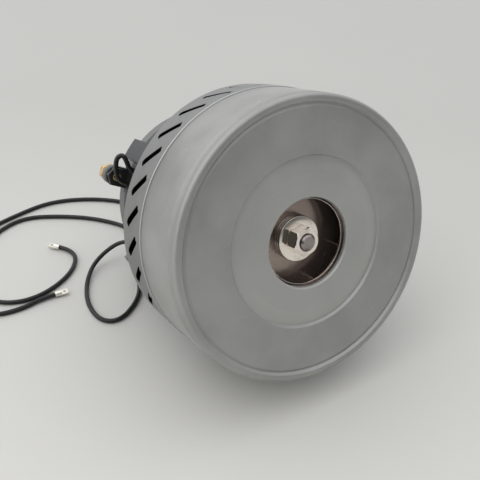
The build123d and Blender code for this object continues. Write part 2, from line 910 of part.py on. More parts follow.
for name, turn in (("upper_field_coil", 0), ("lower_field_coil", 180)):
    with BuildPart() as field_coil:
        for start_angle in (coil_side_start, 180 - coil_side_end):
            sector(
                coil_outer,
                coil_radius,
                turn + start_angle,
                turn + start_angle + coil_side_end - coil_side_start,
                core_level - coil_overhang,
                core_rear + coil_overhang,
            )
        for start in (core_level - coil_overhang, core_rear + seat_gap):
            sector(
                coil_outer,
                coil_radius,
                turn + coil_side_start,
                turn + 180 - coil_side_start,
                start,
                start + coil_overhang - seat_gap,
            )
    save(field_coil.part, name)

# Armature: a slotted core, its winding and the commutator
with BuildPart() as armature_core:
    ring(armature_radius, shaft_radius + shaft_gap, core_level, core_rear)
    with BuildSketch(unit.offset(core_level)):
        with PolarLocations((tooth_slot_floor + armature_radius + overrun) / 2, tooth_count):
            Rectangle(armature_radius + overrun - tooth_slot_floor, tooth_slot_width)
    extrude(amount=core_length, mode=Mode.SUBTRACT)
save(armature_core.part, "armature_core")

with BuildPart() as armature_winding:
    winding_front = core_level - winding_overhang
    winding_rear = core_rear + winding_overhang
    ring(winding_outer, winding_inner, winding_front, core_level - seat_gap)
    ring(winding_outer, winding_inner, core_rear + seat_gap, winding_rear)
    with BuildSketch(unit.offset(core_level - winding_overhang / 2)):
        wire_floor = tooth_slot_floor + wire_gap
        wire_top = armature_radius - wire_gap
        with PolarLocations((wire_floor + wire_top) / 2, tooth_count):
            Rectangle(wire_top - wire_floor, tooth_slot_width - 2 * wire_gap)
    extrude(amount=core_length + winding_overhang)
save(armature_winding.part, "armature_winding")

with BuildPart() as commutator:
    riser_rear = commutator_level + riser_width
    ring(commutator_radius, shaft_radius + shaft_gap, commutator_level, commutator_level + commutator_length)
    ring(riser_radius, shaft_radius + shaft_gap, commutator_level, riser_rear)
    with BuildSketch(unit.offset(riser_rear)):
        with PolarLocations(commutator_radius, commutator_bars):
            Rectangle(2 * commutator_cut_depth, commutator_cut)
    extrude(amount=commutator_length, mode=Mode.SUBTRACT)
save(commutator.part, "commutator")

# Brush gear, one set on each side: holder, carbon brush, spring and cap
for letter, turn in (("a", 0), ("b", 180)):
    brush_angle = clamp_angle + turn
    brush_front = commutator_radius + running_gap
    brush_end = brush_front + brush_length
    holder_outer = housing_radius + holder_flange
    plug_end = holder_outer - cap_plug
    with BuildPart() as holder:
        with BuildSketch(facing_out(holder_inner, brush_angle, brush_level)):
            Rectangle(holder_height, holder_width)
        extrude(amount=holder_outer - holder_inner)
        with BuildSketch(facing_out(housing_radius + fit_gap, brush_angle, brush_level)):
            Rectangle(holder_flange_height, holder_flange_width)
        extrude(amount=holder_flange - fit_gap)
        with BuildSketch(facing_out(holder_inner, brush_angle, brush_level)):
            Rectangle(brush_height + 2 * brush_slide_gap, brush_width + 2 * brush_slide_gap)
        extrude(amount=holder_outer - holder_inner, mode=Mode.SUBTRACT)
    save(holder.part, f"brush_holder_{letter}")
    with BuildPart() as brush:
        with BuildSketch(facing_out(0, brush_angle, brush_level)):
            Rectangle(brush_height, brush_width)
        extrude(amount=brush_end)
        ring(brush_front, 0, brush_level - brush_height, brush_level + brush_height, mode=Mode.SUBTRACT)
    save(brush.part, f"carbon_brush_{letter}")
    with BuildPart() as brush_spring:
        with BuildSketch(facing_out(brush_end, brush_angle, brush_level)):
            Circle(brush_spring_radius)
            Circle(brush_spring_radius - brush_spring_wall, mode=Mode.SUBTRACT)
        extrude(amount=plug_end - brush_end)
    save(brush_spring.part, f"brush_spring_{letter}")
    with BuildPart() as cap:
        with BuildSketch(facing_out(holder_outer, brush_angle, brush_level)):
            Rectangle(cap_height, cap_width)
        extrude(amount=cap_plate)
        with BuildSketch(facing_out(holder_outer, brush_angle, brush_level)):
            Rectangle(brush_height, brush_width)
        extrude(amount=-cap_plug)
    save(cap.part, f"brush_cap_{letter}")

# Cooling fan on the rear journal, under a cover with a slotted grille
with BuildPart() as cooling_fan:
    ring(cooler_radius, thread_radius + shaft_gap, cooler_level, cooler_level + cooler_plate)
    ring(cooler_hub_radius, thread_radius + shaft_gap, cooler_level, cooler_level + cooler_height)
    with BuildSketch(unit.offset(cooler_level)):
        with PolarLocations((cooler_vane_start + cooler_radius) / 2, cooler_vane_count):
            Rectangle(cooler_radius - cooler_vane_start, cooler_vane_width)
    extrude(amount=cooler_height)
save(cooling_fan.part, "cooling_fan")

with BuildPart() as fan_cover:
    turned(
        [
            (cover_flange_radius, bracket_rear),
            (cover_flange_radius, bracket_rear + cover_wall),
            (cover_radius, bracket_rear + cover_wall),
            (cover_radius, cover_rear),
            (0, cover_rear),
            (0, cover_rear - cover_wall),
            (cover_radius - cover_wall, cover_rear - cover_wall),
            (cover_radius - cover_wall, bracket_rear),
        ],
        [0, 0, 0, cover_corner, 0, 0, cover_corner - cover_wall, 0],
    )
    with BuildSketch(unit.offset(cover_rear)):
        with PolarLocations((grille_inner + grille_outer) / 2, grille_count):
            SlotOverall(grille_outer - grille_inner, grille_width)
    extrude(amount=-cover_wall - overrun, mode=Mode.SUBTRACT)
    with BuildSketch(unit.offset(bracket_rear)):
        with PolarLocations(cover_screw_circle, cover_screw_count, start_angle=90):
            Circle(cover_screw_radius + fit_gap)
    extrude(amount=cover_wall, mode=Mode.SUBTRACT)
save(fan_cover.part, "fan_cover")

with BuildPart() as cover_screws:
    head_seat = bracket_rear + cover_wall
    with BuildSketch(unit.offset(head_seat)):
        with PolarLocations(cover_screw_circle, cover_screw_count, start_angle=90):
            Circle(cover_screw_radius)
    extrude(amount=-cover_screw_length)
    with BuildSketch(unit.offset(head_seat)):
        with PolarLocations(cover_screw_circle, cover_screw_count, start_angle=90):
            Circle(cover_screw_head_radius)
    extrude(amount=cover_screw_head, taper=lip_taper)
save(cover_screws.part, "cover_screws")

# Brush leads: each starts square on the cap and ends square on the holder's flange
for letter, turn in (("a", 0), ("b", 180)):
    brush_angle = clamp_angle + turn
    cross_side = outward(brush_angle + 90)
    flange_face = housing_radius + holder_flange
    first, last = brush_lead_route[0], brush_lead_route[-1]
    route = [(cap_plate, *first[1:]), *brush_lead_route, (0, *last[1:])]
    with BuildPart() as brush_lead:
        tube(
            [
                place(flange_face + out, brush_angle, brush_level + along) + cross_side * across
                for out, across, along in route
            ],
            brush_lead_radius,
        )
    save(brush_lead.part, f"brush_lead_{letter}")

# Grommets: moulded plugs in the end bracket's ear, with a collar behind it
with BuildPart() as lead_grommets:
    for start, radius, length in (
        (housing_rear, grommet_radius, ear_plate),
        (seat_level, grommet_collar_radius, grommet_collar),
    ):
        with BuildSketch(unit.offset(start)):
            for angle in grommet_angles.values():
                with Locations(polar(grommet_circle, angle)):
                    Circle(radius)
        extrude(amount=length)
save(lead_grommets.part, "lead_grommets")

# Leads, and the crimped blade terminal at the end of each
for name, route in lead_routes.items():
    with BuildPart() as lead:
        exit_point = place(grommet_circle, grommet_angles[name], seat_level + grommet_collar)
        tube([exit_point, exit_point + unit.z_dir * lead_start, *route], lead_radius)
    save(lead.part, name)
    with BuildPart() as terminal:
        last_run = (Vector(*route[-1]) - Vector(*route[-2])).normalized()
        across = last_run.cross(Vector(0, 0, 1))
        crimp_face = Plane(route[-1], x_dir=across, z_dir=last_run)
        with BuildSketch(crimp_face):
            Circle(crimp_radius)
        extrude(amount=crimp_length)
        with BuildSketch(crimp_face.offset(blade_root)):
            Rectangle(blade_width, blade_thickness)
        extrude(amount=blade_length)
        hole_centre = crimp_face.origin + last_run * (crimp_length + blade_root + blade_length) / 2
        with BuildSketch(Plane(hole_centre, z_dir=(0, 0, 1))):
            Circle(blade_hole_radius)
        extrude(amount=blade_thickness, both=True, mode=Mode.SUBTRACT)
    save(terminal.part, name.replace("lead", "terminal"))
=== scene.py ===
"""The looks of a vacuum motor unit that lies on its side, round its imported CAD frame.

Sizes are in metres. A level is a distance behind the front rim, measured along the
shaft, and an angle is counted round the shaft from the side where the leads come out.
"""

import logging
import math
from collections.abc import Iterable, Sequence
from dataclasses import dataclass
from enum import Enum
from typing import Protocol

import bmesh
import bpy
from mathutils import Matrix, Vector


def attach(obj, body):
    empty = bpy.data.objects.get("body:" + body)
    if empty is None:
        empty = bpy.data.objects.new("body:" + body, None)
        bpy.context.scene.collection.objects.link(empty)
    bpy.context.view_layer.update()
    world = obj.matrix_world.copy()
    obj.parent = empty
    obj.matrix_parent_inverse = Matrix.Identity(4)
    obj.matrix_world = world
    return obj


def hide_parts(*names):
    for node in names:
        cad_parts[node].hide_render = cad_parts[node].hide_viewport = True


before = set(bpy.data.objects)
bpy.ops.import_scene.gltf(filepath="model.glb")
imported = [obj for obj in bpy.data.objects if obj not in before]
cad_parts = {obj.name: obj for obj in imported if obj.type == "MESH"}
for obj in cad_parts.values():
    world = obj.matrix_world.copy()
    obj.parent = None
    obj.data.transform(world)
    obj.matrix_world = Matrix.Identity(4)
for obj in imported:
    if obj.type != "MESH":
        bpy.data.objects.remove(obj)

Colour = tuple[float, float, float]
Face = tuple[int, ...]
Outline = list[tuple[float, float]]
Pairs = tuple[tuple[float, float], ...]
Piece = bpy.types.Object
Place = tuple[float, float, float]
Places = tuple[Place, ...]
Skin = tuple[list[Vector], list[Face]]
log = logging.getLogger("vacuum_motor_unit")


class Body(Enum):
    """The bodies of the frame that pieces ride on."""

    HOUSING = "housing"
    ROTOR = "rotor"


@dataclass(frozen=True)
class UnitAxes:
    """The unit's own frame: x towards the leads, y up, z along the shaft to the rear.

    The unit lies on the rear edges of its case and of its end bracket. The second is
    edge_drop nearer to the shaft and edge_run further to the rear.
    """

    edge_drop: float = 0.0192
    edge_run: float = 0.0595
    height: float = 0.0884162
    shift: float = -0.0679394

    def origin(self) -> Vector:
        """The point on the shaft at the front rim."""
        return Vector((0, self.shift, self.height))

    def axes(self) -> Matrix:
        """Works out the unit's directions.

        Returns:
            Its x, y and z as the rows of a matrix.
        """
        tilt = math.atan(self.edge_drop / self.edge_run)
        rise, run = math.sin(tilt), math.cos(tilt)
        return Matrix(((-1, 0, 0), (0, rise, run), (0, run, -rise)))

    def point(self, radius: float, angle: float, level: float) -> Vector:
        """Places a point that is given round the shaft.

        Args:
            radius: Its distance from the shaft.
            angle: Its angle in degrees.
            level: Its level.

        Returns:
            The point in the frame.
        """
        turn = math.radians(angle)
        local = Vector((radius * math.cos(turn), radius * math.sin(turn), level))
        return self.origin() + self.axes().transposed() @ local

    def spoke(self, radius: float, angle: float) -> Vector:
        """The step away from the shaft by a radius, at an angle in degrees."""
        return self.point(radius, angle, 0) - self.origin()


AXES = UnitAxes()
BRUSH_ANGLE = 29.0
SAME_POINT = 2e-6
NO_LENGTH = 1e-7


class Value:
    """A socket in a shader, with operators that add Math nodes."""

    def __init__(self, graph: "Graph", socket: bpy.types.NodeSocket) -> None:
        """Keeps the graph and the socket.

        Args:
            graph: The graph that new nodes are added to.
            socket: The output socket that this value stands for.
        """
        self.graph = graph
        self.socket = socket

    def _math(self, operation: str, *others: "Value | float") -> "Value":
        """Adds a Math node on this value and others."""
        inputs = {place: value for place, value in enumerate((self, *others))}
        return self.graph.node("ShaderNodeMath", {"operation": operation}, inputs)

    def __add__(self, other: "Value | float") -> "Value":
        """This value plus another."""
        return self._math("ADD", other)

    __radd__ = __add__

    def __sub__(self, other: "Value | float") -> "Value":
        """This value less another."""
        return self._math("SUBTRACT", other)

    def __rsub__(self, other: float) -> "Value":
        """A number less this value."""
        return self._math("MULTIPLY", -1.0) + other

    def __mul__(self, other: "Value | float") -> "Value":
        """This value times another."""
        return self._math("MULTIPLY", other)

    __rmul__ = __mul__

    def __pow__(self, power: float) -> "Value":
        """This value to a power."""
        return self._math("POWER", power)

    def between(self, low: float, high: float) -> "Value":
        """A smooth step from 0 at low to 1 at high."""
        inputs = {"Value": self, "From Min": low, "From Max": high}
        return self.graph.node("ShaderNodeMapRange", {"interpolation_type": "SMOOTHSTEP"}, inputs)

    def angle_to(self, other: "Value") -> "Value":
        """The angle whose tangent is this value over another."""
        return self._math("ARCTAN2", other)

    def larger(self, other: "Value") -> "Value":
        """The larger of this value and another."""
        return self._math("MAXIMUM", other)

    def wave(self) -> "Value":
        """A sine wave from 0 to 1 that has this value as its phase."""
        return self._math("SINE") * 0.5 + 0.5


class Graph:
    """The node tree of a new material, or of a world."""

    def __init__(self, name: str, world: bpy.types.World | None = None) -> None:
        """Makes an empty material with its Principled shader, unless a world is given.

        Args:
            name: The material's name.
            world: The world whose tree is used in place of a material's.
        """
        self.material = world or bpy.data.materials.new(name)
        self.material.use_nodes = True
        self.tree = self.material.node_tree
        self.shader = self.tree.nodes["Background" if world else "Principled BSDF"]

    def node(
        self,
        kind: str,
        settings: dict[str, object] | None = None,
        inputs: dict[str | int, object] | None = None,
        output: str | int = 0,
    ) -> Value:
        """Adds a node.

        Args:
            kind: The node's type.
            settings: Its properties, set first.
            inputs: Values or links for its sockets.
            output: The socket to return.

        Returns:
            The named output.
        """
        made = self.tree.nodes.new(kind)
        for key, setting in (settings or {}).items():
            setattr(made, key, setting)
        for key, value in (inputs or {}).items():
            self._feed(made.inputs[key], value)
        return Value(self, made.outputs[output])

    def _feed(self, socket: bpy.types.NodeSocket, value: object) -> None:
        """Links a value to a socket, or sets the socket.

        Args:
            socket: The input socket.
            value: A value of this graph, or a plain setting.
        """
        if isinstance(value, Value):
            self.tree.links.new(value.socket, socket)
        else:
            socket.default_value = value

    def set(self, **sockets: object) -> None:
        """Sets or links the shader's own sockets, with underscores for spaces."""
        for key, value in sockets.items():
            self._feed(self.shader.inputs[key.replace("_", " ")], value)

    def unit_place(self) -> Value:
        """Turns the surface's place into the unit's own frame.

        Returns:
            The place, with its x, y and z along the unit's axes.
        """
        turn = AXES.axes()
        inputs = {
            "Vector": self.node("ShaderNodeTexCoord", output="Object"),
            "Location": -(turn @ AXES.origin()),
            "Rotation": turn.to_euler(),
        }
        return self.node("ShaderNodeMapping", {"vector_type": "POINT"}, inputs)

    def stretched(self, place: Value, factors: Place) -> Value:
        """A place with its coordinates multiplied."""
        return self.node("ShaderNodeVectorMath", {"operation": "MULTIPLY"}, {0: place, 1: factors})

    def facing(self, direction: Value, way: Place) -> Value:
        """How far a direction points one way, from -1 to 1."""
        inputs = {0: direction, 1: way}
        return self.node("ShaderNodeVectorMath", {"operation": "DOT_PRODUCT"}, inputs, "Value")

    def noise(self, place: Value, scale: float, detail: float = 3.0, rough: float = 0.5) -> Value:
        """A noise from 0 to 1."""
        inputs = {"Vector": place, "Scale": scale, "Detail": detail, "Roughness": rough}
        return self.node("ShaderNodeTexNoise", None, inputs, "Fac")

    def mix(self, share: Value, first: "Colour | Value", second: "Colour | Value") -> Value:
        """Mixes two colours.

        Args:
            share: The second colour's share, from 0 to 1.
            first: The colour at 0.
            second: The colour at 1.

        Returns:
            The mixed colour.
        """
        ends = [(*end, 1.0) if isinstance(end, tuple) else end for end in (first, second)]
        inputs = {0: share, 6: ends[0], 7: ends[1]}
        return self.node("ShaderNodeMix", {"data_type": "RGBA"}, inputs, 2)

    def bump(self, height: Value, strength: float, distance: float) -> None:
        """Feeds a height to the shader's normal."""
        inputs = {"Height": height, "Strength": strength, "Distance": distance}
        self.set(Normal=self.node("ShaderNodeBump", None, inputs))

    def parts(self, place: Value) -> list[Value]:
        """The x, y and z of a place."""
        split = self.node("ShaderNodeSeparateXYZ", None, {0: place})
        return [Value(self, socket) for socket in split.socket.node.outputs]

    def around(self, place: Value) -> tuple[Value, Value, Value]:
        """Gives a place round the shaft.

        Args:
            place: A place in the unit's own frame.

        Returns:
            Its distance from the shaft, its angle and its level.
        """
        out, upward, along = self.parts(place)
        return (out * out + upward * upward) ** 0.5, upward.angle_to(out), along


@dataclass(frozen=True)
class Finish:
    """What a surface is made of and how it looks."""

    name: str
    colour: Colour
    slot: str
    roughness: float = 0.5
    metallic: float = 0.0

    def shades(self, *factors: float) -> list[Colour]:
        """The colour made lighter or darker by each factor."""
        return [tuple(min(1.0, part * factor) for part in self.colour) for factor in factors]

    def material(self) -> bpy.types.Material:
        """Makes the material, or finds the one made before.

        Returns:
            The material.
        """
        known = bpy.data.materials.get(self.name)
        if known:
            return known
        graph = Graph(self.name)
        graph.set(Metallic=self.metallic)
        self.paint(graph, graph.unit_place())
        return graph.material

    def paint(self, graph: Graph, place: Value) -> None:
        """Fills the graph. Each kind of finish has its own.

        Args:
            graph: The material's graph.
            place: The place on the surface in the unit's own frame.
        """
        raise NotImplementedError


@dataclass(frozen=True)
class SheetSteel(Finish):
    """Plated sheet steel: cloudy smudges, a fine mottle and a few hair scratches.

    Within centre of the shaft the sheet gets painted light, and a seam at its level gets a painted highlight.
    """

    cloud: float = 0.14
    gleam: float = 0.12
    centre: float = 0.0
    seam: float = 0.0
    cloud_scale: float = 26.0
    mottle_scale: float = 420.0
    streaks: Place = (160.0, 1500.0, 160.0)
    centre_edge: float = 0.0012
    centre_painted_light: tuple[float, float] = (1.08, 1.26)
    seam_half: float = 0.0008
    seam_painted_highlight: float = 1.9
    scratch_shade: float = 1.5

    def paint(self, graph: Graph, place: Value) -> None:
        """Clouds change the colour and the roughness, scratches the colour and the relief.

        Args:
            graph: The material's graph.
            place: The place on the surface.
        """
        clouds = graph.noise(place, self.cloud_scale, 4, 0.55).between(0.3, 0.72)
        mottle = graph.noise(place, self.mottle_scale, 3, 0.6)
        streaks = graph.noise(graph.stretched(place, self.streaks), 1.0, 2, 0.5)
        scratches = streaks.between(0.66, 0.74) * graph.noise(place, 70, 2).between(0.5, 0.7)
        shade = clouds * 0.75 + mottle * 0.25
        colour = graph.mix(shade, *self.shades(1 - self.cloud, 1 + self.cloud))
        distance, _, level = graph.around(place)
        # Painted light: within centre of the shaft the face's colour is painted lighter.
        if self.centre > 0:
            painted_light_centre = graph.mix(shade, *self.shades(*self.centre_painted_light))
            beyond = distance.between(self.centre, self.centre + self.centre_edge)
            colour = graph.mix(beyond, painted_light_centre, colour)
        # Painted highlight: a thin band at the seam's level is painted lighter, standing in for the lit lip
        # of the joint.
        if self.seam > 0:
            start = level.between(self.seam - self.seam_half, self.seam - self.seam_half / 2)
            end = level.between(self.seam + self.seam_half / 2, self.seam + self.seam_half)
            colour = graph.mix(start * (1 - end), colour, self.shades(self.seam_painted_highlight)[0])
        graph.set(Base_Color=graph.mix(scratches * 0.5, colour, self.shades(self.scratch_shade)[0]))
        graph.set(Roughness=self.roughness + (clouds - 0.5) * self.gleam + (mottle - 0.5) * 0.1)
        graph.bump(mottle + scratches * 0.6, 0.12, 0.0001)


@dataclass(frozen=True)
class BrightSteel(Finish):
    """Turned and plated steel, with fine rings round the shaft."""

    rings: float = 5200.0
    soil_scale: float = 130.0

    def paint(self, graph: Graph, place: Value) -> None:
        """Rings and a light soiling change the roughness and the colour.

        Args:
            graph: The material's graph.
            place: The place on the surface.
        """
        distance, _, _ = graph.around(place)
        lines = (distance * self.rings + graph.noise(place, 90, 3) * 4).wave()
        soil = graph.noise(place, self.soil_scale, 4, 0.6).between(0.45, 0.75)
        dark, light = self.shades(0.78, 1.08)
        graph.set(Base_Color=graph.mix(soil, light, dark))
        graph.set(Roughness=self.roughness + soil * 0.1 + lines * 0.03)
        graph.bump(lines, 0.04, 0.00002)


@dataclass(frozen=True)
class YellowZinc(Finish):
    """Yellow passivated zinc, with a faint play of colours."""

    tint: Colour = (0.80, 0.50, 0.24)
    hue_scale: float = 150.0
    grain_scale: float = 2400.0

    def paint(self, graph: Graph, place: Value) -> None:
        """A slow noise changes the hue, a fine one the roughness.

        Args:
            graph: The material's graph.
            place: The place on the surface.
        """
        hue = graph.noise(place, self.hue_scale, 2).between(0.35, 0.68)
        grain = graph.noise(place, self.grain_scale, 3)
        graph.set(Base_Color=graph.mix(hue, self.shades(1.05)[0], self.tint))
        graph.set(Roughness=self.roughness + (grain - 0.5) * 0.1)
        graph.bump(grain, 0.05, 0.00002)


@dataclass(frozen=True)
class Moulded(Finish):
    """Moulded plastic or rubber with a fine grain."""

    relief: float = 0.25
    grain_scale: float = 1800.0
    cloud_scale: float = 40.0

    def paint(self, graph: Graph, place: Value) -> None:
        """A fine grain gives the relief, and slow clouds change the colour.

        Args:
            graph: The material's graph.
            place: The place on the surface.
        """
        grain = graph.noise(place, self.grain_scale, 4, 0.6)
        clouds = graph.noise(place, self.cloud_scale, 3).between(0.3, 0.7)
        dark, light = self.shades(0.82, 1.2)
        graph.set(Base_Color=graph.mix(clouds * 0.6 + grain * 0.4, dark, light))
        graph.set(Roughness=self.roughness + (clouds - 0.5) * 0.12 + (grain - 0.5) * 0.08)
        graph.bump(grain, self.relief, 0.0001)


@dataclass(frozen=True)
class CastMetal(Finish):
    """Die-cast metal: a rough skin with small pits."""

    skin_scale: float = 700.0
    pit_scale: float = 1900.0

    def paint(self, graph: Graph, place: Value) -> None:
        """Two grains give the skin, and the pits are darker.

        Args:
            graph: The material's graph.
            place: The place on the surface.
        """
        skin = graph.noise(place, self.skin_scale, 5, 0.65)
        pits = graph.noise(place, self.pit_scale, 2).between(0.62, 0.75)
        dark, light = self.shades(0.7, 1.15)
        graph.set(Base_Color=graph.mix(skin * 0.8 + pits * -0.4 + 0.1, dark, light))
        graph.set(Roughness=self.roughness + pits * 0.2 + (skin - 0.5) * 0.15)
        graph.bump(skin - pits, 0.35, 0.00015)


@dataclass(frozen=True)
class Stacked(Finish):
    """Sheets or bars in a row along the shaft, such as a laminated core."""

    pitch: float = 0.0005
    soil_scale: float = 150.0

    def paint(self, graph: Graph, place: Value) -> None:
        """Fine lines square to the shaft give the stack.

        Args:
            graph: The material's graph.
            place: The place on the surface.
        """
        _, _, level = graph.around(place)
        lines = (level * (2 * math.pi / self.pitch)).wave()
        soil = graph.noise(place, self.soil_scale, 4)
        dark, light = self.shades(0.6, 1.2)
        graph.set(Base_Color=graph.mix(lines * 0.5 + soil * 0.5, dark, light))
        graph.set(Roughness=self.roughness + (soil - 0.5) * 0.2)
        graph.bump(lines, 0.3, 0.0001)


@dataclass(frozen=True)
class WoundWire(Finish):
    """Enamelled copper wire, seen as turns that run along the shaft."""

    wires: float = 130.0
    tone_scale: float = 300.0
    enamel: float = 0.4

    def paint(self, graph: Graph, place: Value) -> None:
        """Lines at even angles give the wires.

        Args:
            graph: The material's graph.
            place: The place on the surface.
        """
        _, angle, _ = graph.around(place)
        turns = (angle * self.wires).wave()
        tone = graph.noise(place, self.tone_scale, 3)
        dark, light = self.shades(0.45, 1.2)
        graph.set(Base_Color=graph.mix(turns * 0.6 + tone * 0.4, dark, light))
        graph.set(Roughness=self.roughness + (tone - 0.5) * 0.15, Coat_Weight=self.enamel)
        graph.bump(turns, 0.5, 0.0002)


@dataclass(frozen=True)
class SoftInsulation(Finish):
    """Black soft insulation: a dull shine with handling marks."""

    mark_scale: float = 90.0
    dust_scale: float = 1500.0

    def paint(self, graph: Graph, place: Value) -> None:
        """Slow marks change the shine along the lead, and dust lightens it.

        Args:
            graph: The material's graph.
            place: The place on the surface.
        """
        marks = graph.noise(place, self.mark_scale, 3).between(0.35, 0.7)
        dust = graph.noise(place, self.dust_scale, 3).between(0.58, 0.75)
        dark, light = self.shades(0.8, 2.4)
        graph.set(Base_Color=graph.mix(dust * 0.4 + marks * 0.2, dark, light))
        graph.set(Roughness=self.roughness + (marks - 0.5) * 0.15)
        graph.bump(marks * 0.6 + dust, 0.06, 0.0001)


class Finishes(Enum):
    """The finishes of the unit's pieces."""

    CASE = SheetSteel("case_steel_finish", (0.375, 0.375, 0.362), "case_steel", 0.5, 0.6, centre=0.0425)
    REAR_CASE = SheetSteel("rear_case_finish", (0.25, 0.25, 0.245), "case_steel", 0.5, 0.6, seam=0.0399)
    # Painted shade: a near-black sheet finish for the louvre slots' cut edges and the drum's inside, where
    # shade falls.
    PAINTED_SLOT_SHADE = SheetSteel("painted_slot_shade", (0.012, 0.012, 0.012), "case_steel", 0.7, 0.3)
    FAN = SheetSteel("fan_sheet_finish", (0.37, 0.30, 0.265), "fan_aluminium", 0.26, 0.85, 0.25)
    BRIGHT = BrightSteel("bright_nickel", (0.78, 0.73, 0.67), "bright_steel", 0.03, 1.0)
    WASHER = BrightSteel("bright_washer", (0.78, 0.72, 0.65), "bright_steel", 0.12, 1.0)
    SHAFT = BrightSteel("ground_steel", (0.30, 0.27, 0.26), "shaft_steel", 0.2, 1.0)
    BEARING = BrightSteel("bearing_steel_finish", (0.6, 0.6, 0.6), "bearing_steel", 0.14, 1.0)
    ZINC = BrightSteel("clear_zinc", (0.55, 0.56, 0.57), "screw_zinc", 0.32, 1.0)
    CLAMP = YellowZinc("yellow_zinc", (0.86, 0.62, 0.22), "clamp_zinc", 0.2, 0.9)
    DARK_NUT = BrightSteel("dark_steel_nut", (0.09, 0.09, 0.09), "clamp_zinc", 0.35, 0.9)
    CASTING = CastMetal("cast_alloy", (0.22, 0.22, 0.215), "bracket_casting", 0.55, 0.5)
    HOUSING = Moulded("housing_moulding", (0.055, 0.057, 0.058), "housing_plastic", 0.55)
    COVER = Moulded("cover_moulding", (0.022, 0.022, 0.023), "cover_plastic", 0.5)
    COOLER = Moulded("cooling_fan_moulding", (0.03, 0.03, 0.03), "cooling_fan_plastic", 0.5)
    HOLDER = Moulded("holder_moulding", (0.012, 0.012, 0.012), "holder_plastic", 0.42)
    STAGE = Moulded("stage_moulding", (0.02, 0.02, 0.02), "stage_plastic", 0.55)
    CARBON = Moulded("pressed_carbon", (0.03, 0.03, 0.032), "brush_carbon", 0.6, 0.2)
    RUBBER = Moulded("grommet_rubber_finish", (0.016, 0.016, 0.016), "grommet_rubber", 0.6)
    CORE = Stacked("core_sheets", (0.2, 0.2, 0.21), "core_steel", 0.5, 0.8)
    BARS = Stacked("commutator_bars", (0.6, 0.3, 0.17), "commutator_copper", 0.35, 1.0, 0.0012)
    COPPER = WoundWire("winding_wire", (0.42, 0.14, 0.06), "winding_copper", 0.35, 0.6)
    SPRING = BrightSteel("spring_wire", (0.4, 0.4, 0.4), "spring_steel", 0.35, 1.0)
    WIRE = Moulded("varnished_wire", (0.010, 0.010, 0.010), "lead_insulation", 0.25)
    LEAD = SoftInsulation("lead_skin", (0.006, 0.006, 0.006), "lead_insulation", 0.5)
    TIN = BrightSteel("tin_plate", (0.72, 0.70, 0.62), "terminal_tin", 0.24, 1.0)


CAD_FINISHES: dict[Finishes, tuple[str, ...]] = {
    Finishes.CASE: ("inlet_shell", "exhaust_shell"),
    Finishes.FAN: ("front_fan", "rear_fan"),
    Finishes.STAGE: ("stage_plate",),
    Finishes.BRIGHT: ("lock_nut", "inlet_washers", "cooling_fan_nut"),
    Finishes.SHAFT: ("shaft", "front_spacer", "rear_spacer"),
    Finishes.BEARING: tuple(
        f"{end}_bearing_{part}" for end in ("front", "rear") for part in ("outer_ring", "inner_ring", "balls")
    ),
    Finishes.ZINC: ("case_screws", "cover_screws"),
    Finishes.CLAMP: ("clamp_screws", "clamp_flat_washers", "clamp_spring_washers"),
    Finishes.DARK_NUT: ("clamp_nuts",),
    Finishes.CASTING: ("drive_bracket", "end_bracket"),
    Finishes.HOUSING: ("motor_housing",),
    Finishes.COVER: ("fan_cover",),
    Finishes.COOLER: ("cooling_fan",),
    Finishes.CORE: ("stator_core", "armature_core"),
    Finishes.COPPER: ("upper_field_coil", "lower_field_coil", "armature_winding"),
    Finishes.BARS: ("commutator",),
    Finishes.HOLDER: ("brush_holder_a", "brush_holder_b", "brush_cap_a", "brush_cap_b"),
    Finishes.CARBON: ("carbon_brush_a", "carbon_brush_b"),
    Finishes.SPRING: ("brush_spring_a", "brush_spring_b"),
    Finishes.LEAD: ("brush_lead_a", "brush_lead_b", "lead_a", "lead_b"),
    Finishes.RUBBER: ("lead_grommets",),
    Finishes.TIN: ("terminal_a", "terminal_b"),
}


def rounded_outline(corners: Places, steps: int = 6) -> Outline:
    """Rounds the corners of an outline.

    Args:
        corners: Radius, level and bend radius of each corner.
        steps: Points on each bend, less one.

    Returns:
        The (radius, level) points of the rounded outline.
    """
    points: Outline = []
    for index, (radius, level, bend) in enumerate(corners):
        here = Vector((radius, level))
        if bend <= 0 or index in (0, len(corners) - 1):
            points.append((radius, level))
            continue
        before = (Vector(corners[index - 1][:2]) - here).normalized()
        after = (Vector(corners[index + 1][:2]) - here).normalized()
        half = before.angle(after) / 2
        centre = here + (before + after).normalized() * (bend / math.sin(half))
        start = here + before * (bend / math.tan(half)) - centre
        end = here + after * (bend / math.tan(half)) - centre
        turn = start.angle_signed(end)
        for step in range(steps + 1):
            spoke = start.copy()
            spoke.rotate(Matrix.Rotation(-turn * step / steps, 2))
            points.append(tuple(centre + spoke))
    return points


def polygon(radius: float, count: int) -> Outline:
    """The corners of a regular polygon, counted from the side."""
    turns = [2 * math.pi * step / count for step in range(count)]
    return [(radius * math.cos(turn), radius * math.sin(turn)) for turn in turns]


def ring_faces(rings: int, count: int) -> list[Face]:
    """Joins rings of points, one after the other, by four-cornered faces.

    Args:
        rings: The number of rings.
        count: The number of points in each ring.

    Returns:
        The faces.
    """
    faces = []
    for first in range(0, (rings - 1) * count, count):
        second = first + count
        for step in range(count):
            after = (step + 1) % count
            faces.append((first + step, first + after, second + after, second + step))
    return faces


def turned(outline: Outline, count: int = 240) -> Skin:
    """Turns an open outline about the shaft.

    Args:
        outline: (radius, level) points, seen from outside on the left.
        count: The number of steps round the shaft.

    Returns:
        The points and the faces.
    """
    angles = [360 * step / count for step in range(count)]
    points = [AXES.point(radius, angle, level) for radius, level in outline for angle in angles]
    return points, ring_faces(len(outline), count)


def joined(skins: Iterable[Skin]) -> Skin:
    """Puts several skins together.

    Args:
        skins: The points and the faces of each.

    Returns:
        The points and the faces of all.
    """
    points: list[Vector] = []
    faces: list[Face] = []
    for more, sides in skins:
        faces += [tuple(index + len(points) for index in side) for side in sides]
        points += more
    return points, faces


